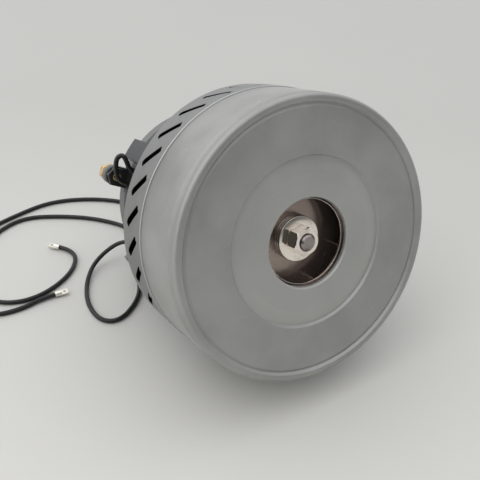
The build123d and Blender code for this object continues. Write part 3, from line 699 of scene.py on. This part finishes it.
def levels(node: str) -> tuple[float, float]:
    """Measures a CAD node along the shaft.

    Args:
        node: The node's name.

    Returns:
        The lowest and the highest level that it reaches.
    """
    start, shaft = AXES.origin(), AXES.axes()[2]
    found = [(vertex.co - start).dot(shaft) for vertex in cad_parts[node].data.vertices]
    return min(found), max(found)


def smooth(share: float) -> float:
    """A smooth step from 0 to 1."""
    share = min(1.0, max(0.0, share))
    return share * share * (3 - 2 * share)


def add_piece(piece: Piece, finish: Finishes, body: Body, stands_for: Sequence[str]) -> Piece:
    """Puts a piece in the scene with its finish and lets it ride on a body.

    Args:
        piece: The new object.
        finish: Its finish.
        body: The body that carries it.
        stands_for: The CAD nodes that it replaces.

    Returns:
        The same object.
    """
    bpy.context.scene.collection.objects.link(piece)
    piece.data.materials.append(finish.value.material())
    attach(piece, body.value)
    if stands_for:
        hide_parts(*stands_for)
    return piece


def make_piece(
    name: str,
    skin: Skin,
    finish: Finishes,
    body: Body,
    stands_for: Sequence[str] = (),
    thickness: float = 0.0,
    sharp: float = 34.0,
    edge: Finishes | None = None,
) -> Piece:
    """Makes a mesh piece.

    Args:
        name: The piece's name.
        skin: Its points, and its faces seen from outside.
        finish: Its finish.
        body: The body that carries it.
        stands_for: The CAD nodes that it replaces.
        thickness: The thickness added behind an open sheet.
        sharp: Edges with a larger turn than this many degrees stay sharp.
        edge: The finish of the cut edges and the inside of a sheet; the exhaust drum gives them painted
            shade.

    Returns:
        The new object.
    """
    mesh = bpy.data.meshes.new(name)
    mesh.from_pydata([tuple(point) for point in skin[0]], [], skin[1])
    shape = bmesh.new()
    shape.from_mesh(mesh)
    bmesh.ops.remove_doubles(shape, verts=shape.verts, dist=SAME_POINT)
    bmesh.ops.dissolve_degenerate(shape, dist=NO_LENGTH, edges=shape.edges)
    shape.to_mesh(mesh)
    shape.free()
    for face in mesh.polygons:
        face.use_smooth = True
    mesh.set_sharp_from_angle(angle=math.radians(sharp))
    piece = add_piece(bpy.data.objects.new(name, mesh), finish, body, stands_for)
    if thickness > 0:
        sheet = piece.modifiers.new("sheet", "SOLIDIFY")
        sheet.thickness = thickness
        sheet.offset = -1
        # The rims and the inside of the sheet take the edge finish, which on the exhaust drum is painted
        # shade.
        if edge:
            mesh.materials.append(edge.value.material())
            sheet.material_offset = 1
            sheet.material_offset_rim = 1
    return piece


def make_wire(
    name: str,
    route: Sequence[Sequence[float]],
    radius: float,
    finish: Finishes,
    stands_for: str,
    rounds: int = 6,
    steps: int = 16,
) -> Piece:
    """Makes a round wire along a smooth spline, fixed to the housing.

    Args:
        name: The piece's name.
        route: The spline's control points.
        radius: The wire's radius.
        finish: Its finish.
        stands_for: The CAD node that it replaces.
        rounds: How finely its section is divided.
        steps: How finely it is divided along its length.

    Returns:
        The new object.
    """
    curve = bpy.data.curves.new(name, "CURVE")
    curve.dimensions = "3D"
    curve.bevel_depth = radius
    curve.bevel_resolution = rounds
    curve.resolution_u = steps
    curve.use_fill_caps = True
    spline = curve.splines.new("NURBS")
    spline.points.add(len(route) - 1)
    for point, place in zip(spline.points, route):
        point.co = (*place, 1.0)
    spline.order_u = 3
    spline.use_endpoint_u = True
    return add_piece(bpy.data.objects.new(name, curve), finish, Body.HOUSING, [stands_for])


class SubAssembly(Protocol):
    """Anything that builds one piece of the unit."""

    def build(self) -> Piece:
        """Makes the piece."""


@dataclass
class InletShell:
    """The drawn front drum, from its rolled inlet lip to the joint."""

    sheet: float = 0.0008
    corners: Places = (
        (0.0226, 0.0039, 0),
        (0.0226, 0.0010, 0.0016),
        (0.0353, 0.0010, 0.0030),
        (0.0428, 0.0024, 0.0004),
        (0.0438, 0.0010, 0.0006),
        (0.0662, 0.0010, 0.0010),
        (0.0675, 0.0016, 0.0004),
        (0.0688, 0.0000, 0.0010),
        (0.07229, 0.0000, 0.0019),
        (0.07229, 0.0026, 0.0010),
        (0.0715, 0.0034, 0.0006),
        (0.0715, 0.0064, 0.0006),
        (0.0725, 0.0076, 0.0010),
        (0.0725, 0.0395, 0),
    )

    def build(self) -> Piece:
        """Turns the drum's outline and gives it the sheet's thickness."""
        skin = turned(rounded_outline(self.corners), 360)
        return make_piece("inlet_drum", skin, Finishes.CASE, Body.HOUSING, ["inlet_shell"], self.sheet)


@dataclass
class ExhaustShell:
    """The rear drum, with slanted louvres pressed into its wall.

    Near a slot, along is a distance along the shaft from the slot's middle, and across
    is a distance round the wall from the same point.
    """

    radius: float = 0.0725
    sheet: float = 0.0006
    count: int = 29
    first_angle: float = 6.85
    slot_level: float = 0.05185
    slot_half: float = 0.0058
    slot_end: float = 0.0024
    slot_reach: float = 0.0104
    slant: float = math.radians(41.7)
    lip_height: float = 0.00052
    lip_share: float = 0.9
    lip_reach: float = 0.0032
    lip_half: float = 0.0054
    dip: float = 0.0002
    dip_reach: float = 0.0020
    nose_reach: float = 0.0013
    nose_beyond: float = 0.0003
    nose_side: float = 0.0006
    lift_reach: float = 0.0095
    ring_step: float = 0.0004
    ring_pairs: int = 23
    wall_ends: tuple[float, float] = (0.0417, 0.0613)
    left_shares: tuple[float, ...] = (0, 0.25, 0.48, 0.66, 0.79, 0.88, 0.95, 1.0)
    right_shares: tuple[float, ...] = (0, 0.04, 0.1, 0.18, 0.28, 0.38, 0.5, 0.64, 0.8, 1.0)
    joint: Pairs = (
        (0.0718, 0.0350),
        (0.0718, 0.0393),
        (0.0726, 0.0393),
        (0.0729, 0.0394),
        (0.07305, 0.0397),
        (0.07305, 0.0401),
        (0.0729, 0.0404),
        (0.0726, 0.0406),
        (0.0725, 0.0410),
    )
    rear: Places = (
        (0.0725, 0.0625, 0),
        (0.0725, 0.0645, 0.0015),
        (0.04445, 0.0645, 0),
    )

    def gap(self, along: float) -> tuple[float, float]:
        """Finds where a slot starts and ends across.

        Args:
            along: The distance along the shaft.

        Returns:
            Both ends of the gap, or twice the same place beyond the slot's tips.
        """
        run, rise = math.cos(self.slant), math.sin(self.slant)
        found: list[float] = []
        for end in (-1, 1):
            offset = along - end * self.slot_half * run
            if abs(offset) <= self.slot_end:
                reach = math.sqrt(self.slot_end**2 - offset**2)
                middle = end * self.slot_half * rise
                found += [middle - reach, middle + reach]
        low = max((along * rise - self.slot_end) / run, (-self.slot_half - along * run) / rise)
        high = min((along * rise + self.slot_end) / run, (self.slot_half - along * run) / rise)
        if low < high:
            found += [low, high]
        if found:
            return min(found), max(found)
        tip = self.slot_half * run + self.slot_end
        side = math.copysign(1, along)
        middle = side * self.slot_half * rise + (along - side * tip) * math.tan(self.slant)
        return middle, middle

    def lift(self, along: float, across: float, beyond: bool) -> float:
        """Works out how far the wall stands out beside a slot.

        Args:
            along: The distance along the shaft.
            across: The distance round the wall.
            beyond: Whether the place is on the slot's raised side.

        Returns:
            The height above the plain wall.
        """
        run, rise = math.cos(self.slant), math.sin(self.slant)
        length = along * run + across * rise
        side = -along * rise + across * run
        ends = 1 - smooth((abs(length) - self.lip_half) / self.lip_reach)
        tip = math.hypot(length + self.slot_half + self.slot_end + self.nose_beyond, side - self.nose_side)
        nose = self.lip_height * math.exp(-((tip / self.nose_reach) ** 2))
        if beyond:
            slope = 1 - smooth((side - self.slot_end) / self.lip_reach)
            return max(nose, self.lip_height * self.lip_share * ends * slope)
        return nose - self.dip * ends * (1 - smooth((-side - self.slot_end) / self.dip_reach))

    def rings(self) -> Outline:
        """Lists the rings of points from the joint to the rear.

        Returns:
            The radius and the level of each ring.
        """
        steps = range(-self.ring_pairs, self.ring_pairs)
        fine = [self.slot_level + self.ring_step * step for step in steps]
        wall = [(self.radius, level) for level in (self.wall_ends[0], *fine, self.wall_ends[1])]
        return [*self.joint, *wall, *rounded_outline(self.rear, 5)]

    def places(self, along: float) -> list[float]:
        """Spreads the points of one ring over the strip of wall round a slot.

        Args:
            along: The ring's distance along the shaft.

        Returns:
            Their distances across, first those left of the gap.
        """
        half = math.pi * self.radius / self.count
        low, high = self.gap(along)
        edge = along * math.tan(self.slant)
        left = [edge - half + (low - edge + half) * share for share in self.left_shares]
        return left + [high + (edge + half - high) * share for share in self.right_shares]

    def strip(self, turn: int) -> list[Vector]:
        """Lays the points of the strip of wall round one slot.

        Args:
            turn: The slot's place in the row.

        Returns:
            The points, ring by ring.
        """
        middle = self.first_angle + turn * 360 / self.count
        points = []
        for radius, level in self.rings():
            along = min(max(level - self.slot_level, -self.slot_reach), self.slot_reach)
            for place, across in enumerate(self.places(along)):
                lifted = 0.0
                if abs(along) < self.lift_reach:
                    lifted = self.lift(along, across, place >= len(self.left_shares))
                angle = middle - math.degrees(across / self.radius)
                points.append(AXES.point(radius + lifted, angle, level))
        return points

    def build(self) -> Piece:
        """Joins up the points of each strip, but for the gap, and puts the strips together.

        Returns:
            The drum.
        """
        left = len(self.left_shares)
        width = left + len(self.right_shares)
        faces: list[Face] = []
        for ring in range(len(self.rings()) - 1):
            for place in range(width - 1):
                first = ring * width + place
                second = first + width
                if place != left - 1:
                    faces.append((first + 1, first, second, second + 1))
        skin = joined((self.strip(turn), faces) for turn in range(self.count))
        return make_piece(
            "exhaust_drum",
            skin,
            Finishes.REAR_CASE,
            Body.HOUSING,
            ["exhaust_shell"],
            thickness=self.sheet,
            sharp=50,
            edge=Finishes.PAINTED_SLOT_SHADE,
        )


@dataclass
class InletNut:
    """The chamfered hexagon nut on the shaft's threaded end."""

    front: float = 0.0031
    height: float = 0.00725
    flats: float = 0.0130
    hole: float = 0.00402
    mouth: float = 0.0007
    rear_mouth: float = 0.0004
    chamfer: float = 0.0011
    slope_share: float = 0.55
    bends: int = 6
    turn: float = -8.0
    steps: int = 144

    def build(self) -> Piece:
        """Lays rings from the hole over the front, the flats and the rear, cut to the hexagon.

        Returns:
            The nut.
        """
        corner = self.flats / math.sqrt(3)
        rear = self.front + self.height
        slope = self.chamfer * self.slope_share
        shares = [part / self.bends for part in range(self.bends + 1)]
        outline = [
            (self.hole, rear - self.rear_mouth),
            (self.hole, self.front + self.mouth),
            (self.hole + self.mouth, self.front),
            *((corner - self.chamfer * (1 - share), self.front + slope * share) for share in shares),
            *((corner - self.chamfer * share, rear - slope * (1 - share)) for share in shares),
            (self.hole, rear),
        ]
        points = []
        for radius, level in outline:
            for step in range(self.steps):
                angle = 360 * step / self.steps
                away = math.radians((angle - self.turn) % 60 - 30)
                flat = self.flats / 2 / math.cos(away)
                points.append(AXES.point(min(radius, flat), angle, level))
        skin = points, ring_faces(len(outline), self.steps)
        return make_piece("inlet_nut", skin, Finishes.BRIGHT, Body.ROTOR, ["lock_nut"], sharp=20)


@dataclass
class WasherStack:
    """Thick plain washers between the nut and the front fan, with rounded rims."""

    front: float = 0.0104
    pitch: float = 0.0018
    gap: float = 0.00005
    count: int = 3
    radius: float = 0.0118
    hole: float = 0.00415
    rounding: float = 0.00045
    hole_rounding: float = 0.0002

    def build(self) -> Piece:
        """Turns each washer, and a hair's gap between it and the next.

        Returns:
            The stack.
        """
        washers = []
        for place in range(self.count):
            front = self.front + place * self.pitch
            rear = front + self.pitch - self.gap
            corners = (
                (self.hole, rear, 0),
                (self.hole, front, self.hole_rounding),
                (self.radius, front, self.rounding),
                (self.radius, rear, self.rounding),
                (self.hole, rear, 0),
            )
            washers.append(turned(rounded_outline(corners, 4), 120))
        return make_piece(
            "plain_washers", joined(washers), Finishes.WASHER, Body.ROTOR, ["inlet_washers"], sharp=60
        )


@dataclass
class EyeEdge:
    """The rolled edge of the front fan's eye, a thin bright ring."""

    radius: float = 0.0218
    level: float = 0.0050
    wire: float = 0.00018

    def build(self) -> Piece:
        """Turns a small round section about the shaft.

        Returns:
            The ring.
        """
        section = polygon(self.wire, 12)
        outline = [(self.radius + out, self.level + along) for out, along in section + section[:1]]
        return make_piece("front_fan_eye_edge", turned(outline, 180), Finishes.BRIGHT, Body.ROTOR)


@dataclass
class ClampScrews:
    """The two slotted hexagon screws of the end bracket, with split and flat washers."""

    circle: float = 0.0620
    flats: float = 0.0096
    slot: float = 0.0013
    depth: float = 0.0014
    radius: float = 0.00245
    gap: float = 0.00005
    edge: float = 0.0003

    def hexagon(self, low: float, high: float) -> Outline:
        """Cuts the head's hexagon between two lines beside the slot.

        Args:
            low: The first line's distance from the slot's middle.
            high: The second line's distance.

        Returns:
            The corners of what is left.
        """
        corners = polygon(self.flats / math.sqrt(3), 6)
        kept: Outline = []
        for first, second in zip(corners, corners[1:] + corners[:1]):
            if low <= first[0] <= high:
                kept.append(first)
            for line in sorted((low, high), key=lambda side: abs(side - first[0])):
                if min(first[0], second[0]) < line < max(first[0], second[0]):
                    share = (line - first[0]) / (second[0] - first[0])
                    kept.append((line, first[1] + share * (second[1] - first[1])))
        return kept

    def prism(self, outline: Outline, low: float, high: float, turn: float) -> Skin:
        """Makes an upright prism on one of the two screw axes.

        Args:
            outline: Points round the screw's axis.
            low: The front level.
            high: The rear level.
            turn: 0 for the first screw, 180 for the second.

        Returns:
            The points and the faces.
        """
        middle = AXES.spoke(self.circle, BRUSH_ANGLE + turn)
        points = []
        for level in (low, high):
            for across, upward in outline:
                reach, angle = math.hypot(across, upward), math.degrees(math.atan2(upward, across))
                points.append(AXES.point(reach, angle, level) + middle)
        count = len(outline)
        front = (0, *range(count - 1, 0, -1))
        rear = (2 * count - 1, *range(count, 2 * count - 1))
        return points, [front, rear, *ring_faces(2, count)]

    def build(self) -> Piece:
        """Makes both screws, each with its head whole below the slot and in two halves beside it.

        Returns:
            The screws.
        """
        low, high = levels("clamp_screws")
        head = levels("clamp_spring_washers")[1] + self.gap
        floor = high - self.depth
        half, beyond = self.slot / 2, self.flats
        prisms = []
        for turn in (0.0, 180.0):
            prisms.append(self.prism(polygon(self.radius, 24), low, head, turn))
            prisms.append(self.prism(self.hexagon(-beyond, beyond), head, floor, turn))
            for side in ((-beyond, -half), (half, beyond)):
                prisms.append(self.prism(self.hexagon(*side), floor, high, turn))
        piece = make_piece(
            "slotted_clamp_screws", joined(prisms), Finishes.CLAMP, Body.HOUSING, ["clamp_screws"]
        )
        bevel = piece.modifiers.new("edges", "BEVEL")
        bevel.width = self.edge
        bevel.segments = 2
        bevel.limit_method = "ANGLE"
        return piece


@dataclass
class BrushLead:
    """A folded thick wire from a brush cap to the holder's flange.

    Its route is given by the distance out from the flange, the distance across and the
    distance along the shaft, from the middle of the brush.
    """

    letter: str
    turn: float
    face: float = 0.0555
    cap: float = 0.0010
    radius: float = 0.0014
    route: Places = (
        (0.0071, -0.0020, 0),
        (0.0101, 0.0042, 0.0010),
        (0.0113, 0.0108, 0.0012),
        (0.0083, 0.0134, 0),
        (0.0049, 0.0090, -0.0010),
        (0.0031, 0.0061, -0.0016),
    )

    def build(self) -> Piece:
        """Lays a smooth wire through the route, with its ends on the cap and the flange.

        Returns:
            The wire.
        """
        angle = BRUSH_ANGLE + self.turn
        middle = sum(levels(f"carbon_brush_{self.letter}")) / 2
        side = AXES.spoke(1, angle + 90)
        ways = [(self.cap, *self.route[0][1:]), *self.route, (0, *self.route[-1][1:])]
        route = []
        for out, across, along in ways:
            route.append(AXES.point(self.face + out, angle, middle + along) + side * across)
        name, node = f"brush_wire_{self.letter}", f"brush_lead_{self.letter}"
        return make_wire(name, route, self.radius, Finishes.WIRE, node, rounds=5, steps=14)


@dataclass
class Grommets:
    """The two tapered rubber grommets that the leads pass through.

    The collar is given by the radius of each ring and its distance before the rear end.
    """

    circle: float = 0.0570
    angles: tuple[float, float] = (-44.0, -28.0)
    radius: float = 0.0026
    bore: float = 0.0005
    collar: Pairs = (
        (0.0026, 0.0015),
        (0.0034, 0.0015),
        (0.0036, 0.0013),
        (0.0036, 0.0008),
        (0.0033, 0.0005),
        (0.0025, 0.0002),
        (0.0016, 0.0),
    )

    def build(self) -> Piece:
        """Turns both plugs, each with a rounded collar and a soft neck.

        Returns:
            The grommets.
        """
        low, high = levels("lead_grommets")
        outline = [(self.bore, low), (self.radius, low)]
        outline += [(radius, high - before) for radius, before in self.collar]
        points, faces = turned([*outline, (self.bore, high)], 32)
        plugs = []
        for angle in self.angles:
            middle = AXES.spoke(self.circle, angle)
            plugs.append(([point + middle for point in points], faces))
        return make_piece(
            "tapered_grommets", joined(plugs), Finishes.RUBBER, Body.HOUSING, ["lead_grommets"]
        )


@dataclass
class Lead:
    """A free lead that leaves its grommet, lies on the table and ends in a terminal."""

    letter: str
    route: Places
    length: float
    diameter: float = 0.0028

    def build(self) -> Piece:
        """Returns:
            The lead.
        """
        node = f"lead_{self.letter}"
        piece = make_wire(f"{node}_cord", self.route, self.diameter / 2, Finishes.LEAD, node)
        return piece


@dataclass
class CrimpBarrel:
    """The rolled barrel of a tinned terminal, with two pressed ridges.

    The profile is given by the distance from the lead's end and the radius.
    """

    lead: Lead
    steps: int = 28
    profile: Pairs = (
        (-0.0001, 0.00150),
        (-0.0001, 0.00188),
        (0.0003, 0.00193),
        (0.0008, 0.00188),
        (0.0013, 0.00187),
        (0.0016, 0.00193),
        (0.0020, 0.00187),
        (0.0026, 0.00187),
        (0.0030, 0.00192),
        (0.0034, 0.00188),
        (0.0039, 0.00187),
        (0.0039, 0.00060),
    )

    def build(self) -> Piece:
        """Turns the barrel about the end of its lead.

        Returns:
            The barrel.
        """
        before, root = (Vector(point) for point in self.lead.route[-2:])
        along = (root - before).normalized()
        across, upward = Vector((along.y, -along.x, 0)), Vector((0, 0, 1))
        points = []
        for place, radius in self.profile:
            for out, rise in polygon(radius, self.steps):
                points.append(root + along * place + across * out + upward * rise)
        skin = points, ring_faces(len(self.profile), self.steps)
        return make_piece(f"crimp_barrel_{self.lead.letter}", skin, Finishes.TIN, Body.HOUSING)


@dataclass
class Studio:
    """The camera at the photograph's viewing angle, the pale floor and the soft light.

    Each dark part of the room has a direction, and how nearly one must look that way for
    it to start and to be full. Each lamp has a place, a size and a power.
    """

    eye: Place = (-0.1678, -0.2827, 0.2948)
    azimuth: float = math.radians(30.7364)
    elevation: float = math.radians(37.026)
    sensor: float = 36.0
    focal_share: float = 700 / 480
    near_clip: float = 0.01
    floor_reach: float = 6.0
    floor_colour: Colour = (0.60, 0.592, 0.562)
    floor_painted_falloff: tuple[float, float] = (1.13, 0.83)
    floor_run: tuple[float, float] = (0.59, 0.81)
    floor_span: tuple[float, float] = (-0.22, 0.3)
    room: Colour = (0.97, 0.98, 1.0)
    dark: Colour = (0.06, 0.06, 0.06)
    dark_parts: tuple[tuple[Place, float, float], ...] = (
        ((0.41, -0.91, 0.0), 0.4, 1.1),
        ((-0.615, -0.725, 0.306), 0.88, 0.955),
    )
    strength: float = 1.08
    lamps: tuple[tuple[str, Place, float, float], ...] = (
        ("window", (-0.75, 0.55, 1.15), 1.8, 4.0),
        ("ceiling", (-0.1, -0.1, 1.7), 2.6, 3.4),
    )

    def camera(self) -> None:
        """Sets the camera by its place and its viewing angle."""
        view = bpy.data.cameras.new("photo_view")
        view.sensor_fit = "HORIZONTAL"
        view.sensor_width = self.sensor
        view.lens = self.sensor * self.focal_share
        view.clip_start = self.near_clip
        right = Vector((math.cos(self.azimuth), -math.sin(self.azimuth), 0))
        ahead = Vector((math.sin(self.azimuth), math.cos(self.azimuth), 0))
        forward = ahead * math.cos(self.elevation) - Vector((0, 0, math.sin(self.elevation)))
        upward = right.cross(forward)
        holder = bpy.data.objects.new("photo_view", view)
        turn = Matrix((right, upward, -forward)).transposed().to_4x4()
        holder.matrix_world = Matrix.Translation(self.eye) @ turn
        bpy.context.scene.collection.objects.link(holder)
        bpy.context.scene.camera = holder

    def floor(self) -> None:
        """Lays a wide pale floor whose colour has painted shade that darkens it away from the camera."""
        mesh = bpy.data.meshes.new("floor")
        ends = (-self.floor_reach, self.floor_reach)
        mesh.from_pydata([(x, y, 0) for y in ends for x in ends], [], [(0, 1, 3, 2)])
        graph = Graph("pale_floor")
        place = graph.node("ShaderNodeTexCoord", output="Object")
        cloud = graph.noise(place, 5, 2) * 0.15
        right, ahead, _ = graph.parts(place)
        # Painted shade: the floor colour darkens with distance from the camera, standing in for light falloff
        # and the unit's soft shadow.
        away = (right * self.floor_run[0] + ahead * self.floor_run[1]).between(*self.floor_span)
        near, far = (tuple(part * shade for part in self.floor_colour) for shade in self.floor_painted_falloff)
        graph.set(Base_Color=graph.mix(away * 0.85 + cloud, near, far))
        graph.set(Roughness=0.6, Specular_IOR_Level=0.3)
        mesh.materials.append(graph.material)
        ground = bpy.data.objects.new("floor", mesh)
        bpy.context.scene.collection.objects.link(ground)

    def light(self) -> None:
        """Sets the world, with its dark parts, and the lamps."""
        bpy.context.scene.world = bpy.data.worlds.new("studio")
        graph = Graph("studio", bpy.context.scene.world)
        direction = graph.node("ShaderNodeTexCoord", output="Generated")
        side, front = (
            graph.facing(direction, way).between(start, full) for way, start, full in self.dark_parts
        )
        room = graph.mix(side.larger(front), self.room, self.dark)
        graph.set(Color=room, Strength=self.strength)
        for name, place, size, power in self.lamps:
            lamp = bpy.data.lights.new(name, "AREA")
            lamp.shape = "DISK"
            lamp.size = size
            lamp.energy = power
            holder = bpy.data.objects.new(name, lamp)
            holder.location = place
            holder.rotation_euler = (-Vector(place)).to_track_quat("-Z", "Y").to_euler()
            bpy.context.scene.collection.objects.link(holder)

    def build(self) -> None:
        """Sets the camera, the floor, the lamps and the plain view transform."""
        self.camera()
        self.floor()
        self.light()
        bpy.context.scene.view_settings.view_transform = "Standard"


LEAD_A_ROUTE = (
    (-0.04100, 0.03458, 0.01373),
    (-0.0410, 0.04314, 0.01097),
    (-0.0360, 0.0570, 0.0064),
    (-0.0260, 0.0750, 0.0027),
    (-0.0175, 0.0970, 0.0015),
    (-0.0120, 0.1290, 0.0015),
    (-0.0350, 0.1518, 0.0015),
    (-0.0660, 0.1654, 0.0015),
    (-0.0950, 0.1605, 0.0015),
    (-0.1220, 0.1525, 0.0015),
    (-0.1450, 0.1370, 0.0015),
    (-0.1570, 0.1110, 0.0015),
    (-0.1540, 0.0830, 0.0015),
    (-0.1390, 0.0630, 0.0015),
    (-0.1220, 0.0596, 0.0015),
    (-0.1070, 0.0624, 0.00195),
    (-0.0984, 0.0616, 0.00195),
)
LEAD_B_ROUTE = (
    (-0.05033, 0.03852, 0.02594),
    (-0.05033, 0.04709, 0.02318),
    (-0.0448, 0.0580, 0.0199),
    (-0.0415, 0.0705, 0.0163),
    (-0.0490, 0.0795, 0.0115),
    (-0.0660, 0.0770, 0.0045),
    (-0.0780, 0.0620, 0.0015),
    (-0.0845, 0.0420, 0.0015),
    (-0.0825, 0.0235, 0.0015),
    (-0.0700, 0.0190, 0.0015),
    (-0.0505, 0.0360, 0.0015),
    (-0.0445, 0.0600, 0.0015),
    (-0.0330, 0.0810, 0.0015),
    (-0.0275, 0.1030, 0.0015),
    (-0.0455, 0.1275, 0.0015),
    (-0.0680, 0.1443, 0.0015),
    (-0.0905, 0.1549, 0.0015),
    (-0.1120, 0.1475, 0.0015),
    (-0.1285, 0.1315, 0.0015),
    (-0.1385, 0.1120, 0.0015),
    (-0.1405, 0.0910, 0.0015),
    (-0.1330, 0.0735, 0.0015),
    (-0.1175, 0.0652, 0.0015),
    (-0.0990, 0.0672, 0.0015),
    (-0.0795, 0.0795, 0.0015),
    (-0.0715, 0.0975, 0.00195),
    (-0.0798, 0.1072, 0.00195),
)
LEADS = (Lead("a", LEAD_A_ROUTE, 0.3665), Lead("b", LEAD_B_ROUTE, 0.496))


def dress_frame() -> None:
    """Gives every CAD node its finish."""
    for finish, names in CAD_FINISHES.items():
        for name in names:
            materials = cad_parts[name].data.materials
            materials.clear()
            materials.append(finish.value.material())
        log.info("%s: %s", finish.value.name, ", ".join(names))


def main() -> None:
    """Builds the scene in order and reports each piece."""
    logging.basicConfig(level=logging.INFO, format="%(message)s")
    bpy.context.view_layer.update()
    Studio().build()
    log.info("studio: camera, floor and lamps")
    dress_frame()
    unit: list[SubAssembly] = [*LEADS, InletShell(), ExhaustShell(), InletNut(), WasherStack()]
    unit += [EyeEdge(), ClampScrews(), Grommets(), *(CrimpBarrel(lead) for lead in LEADS)]
    unit += [BrushLead("a", 0), BrushLead("b", 180)]
    for part in unit:
        piece = part.build()
        log.info("%s: %d materials", piece.name, len(piece.data.materials))


if __name__ == "__main__":
    main()
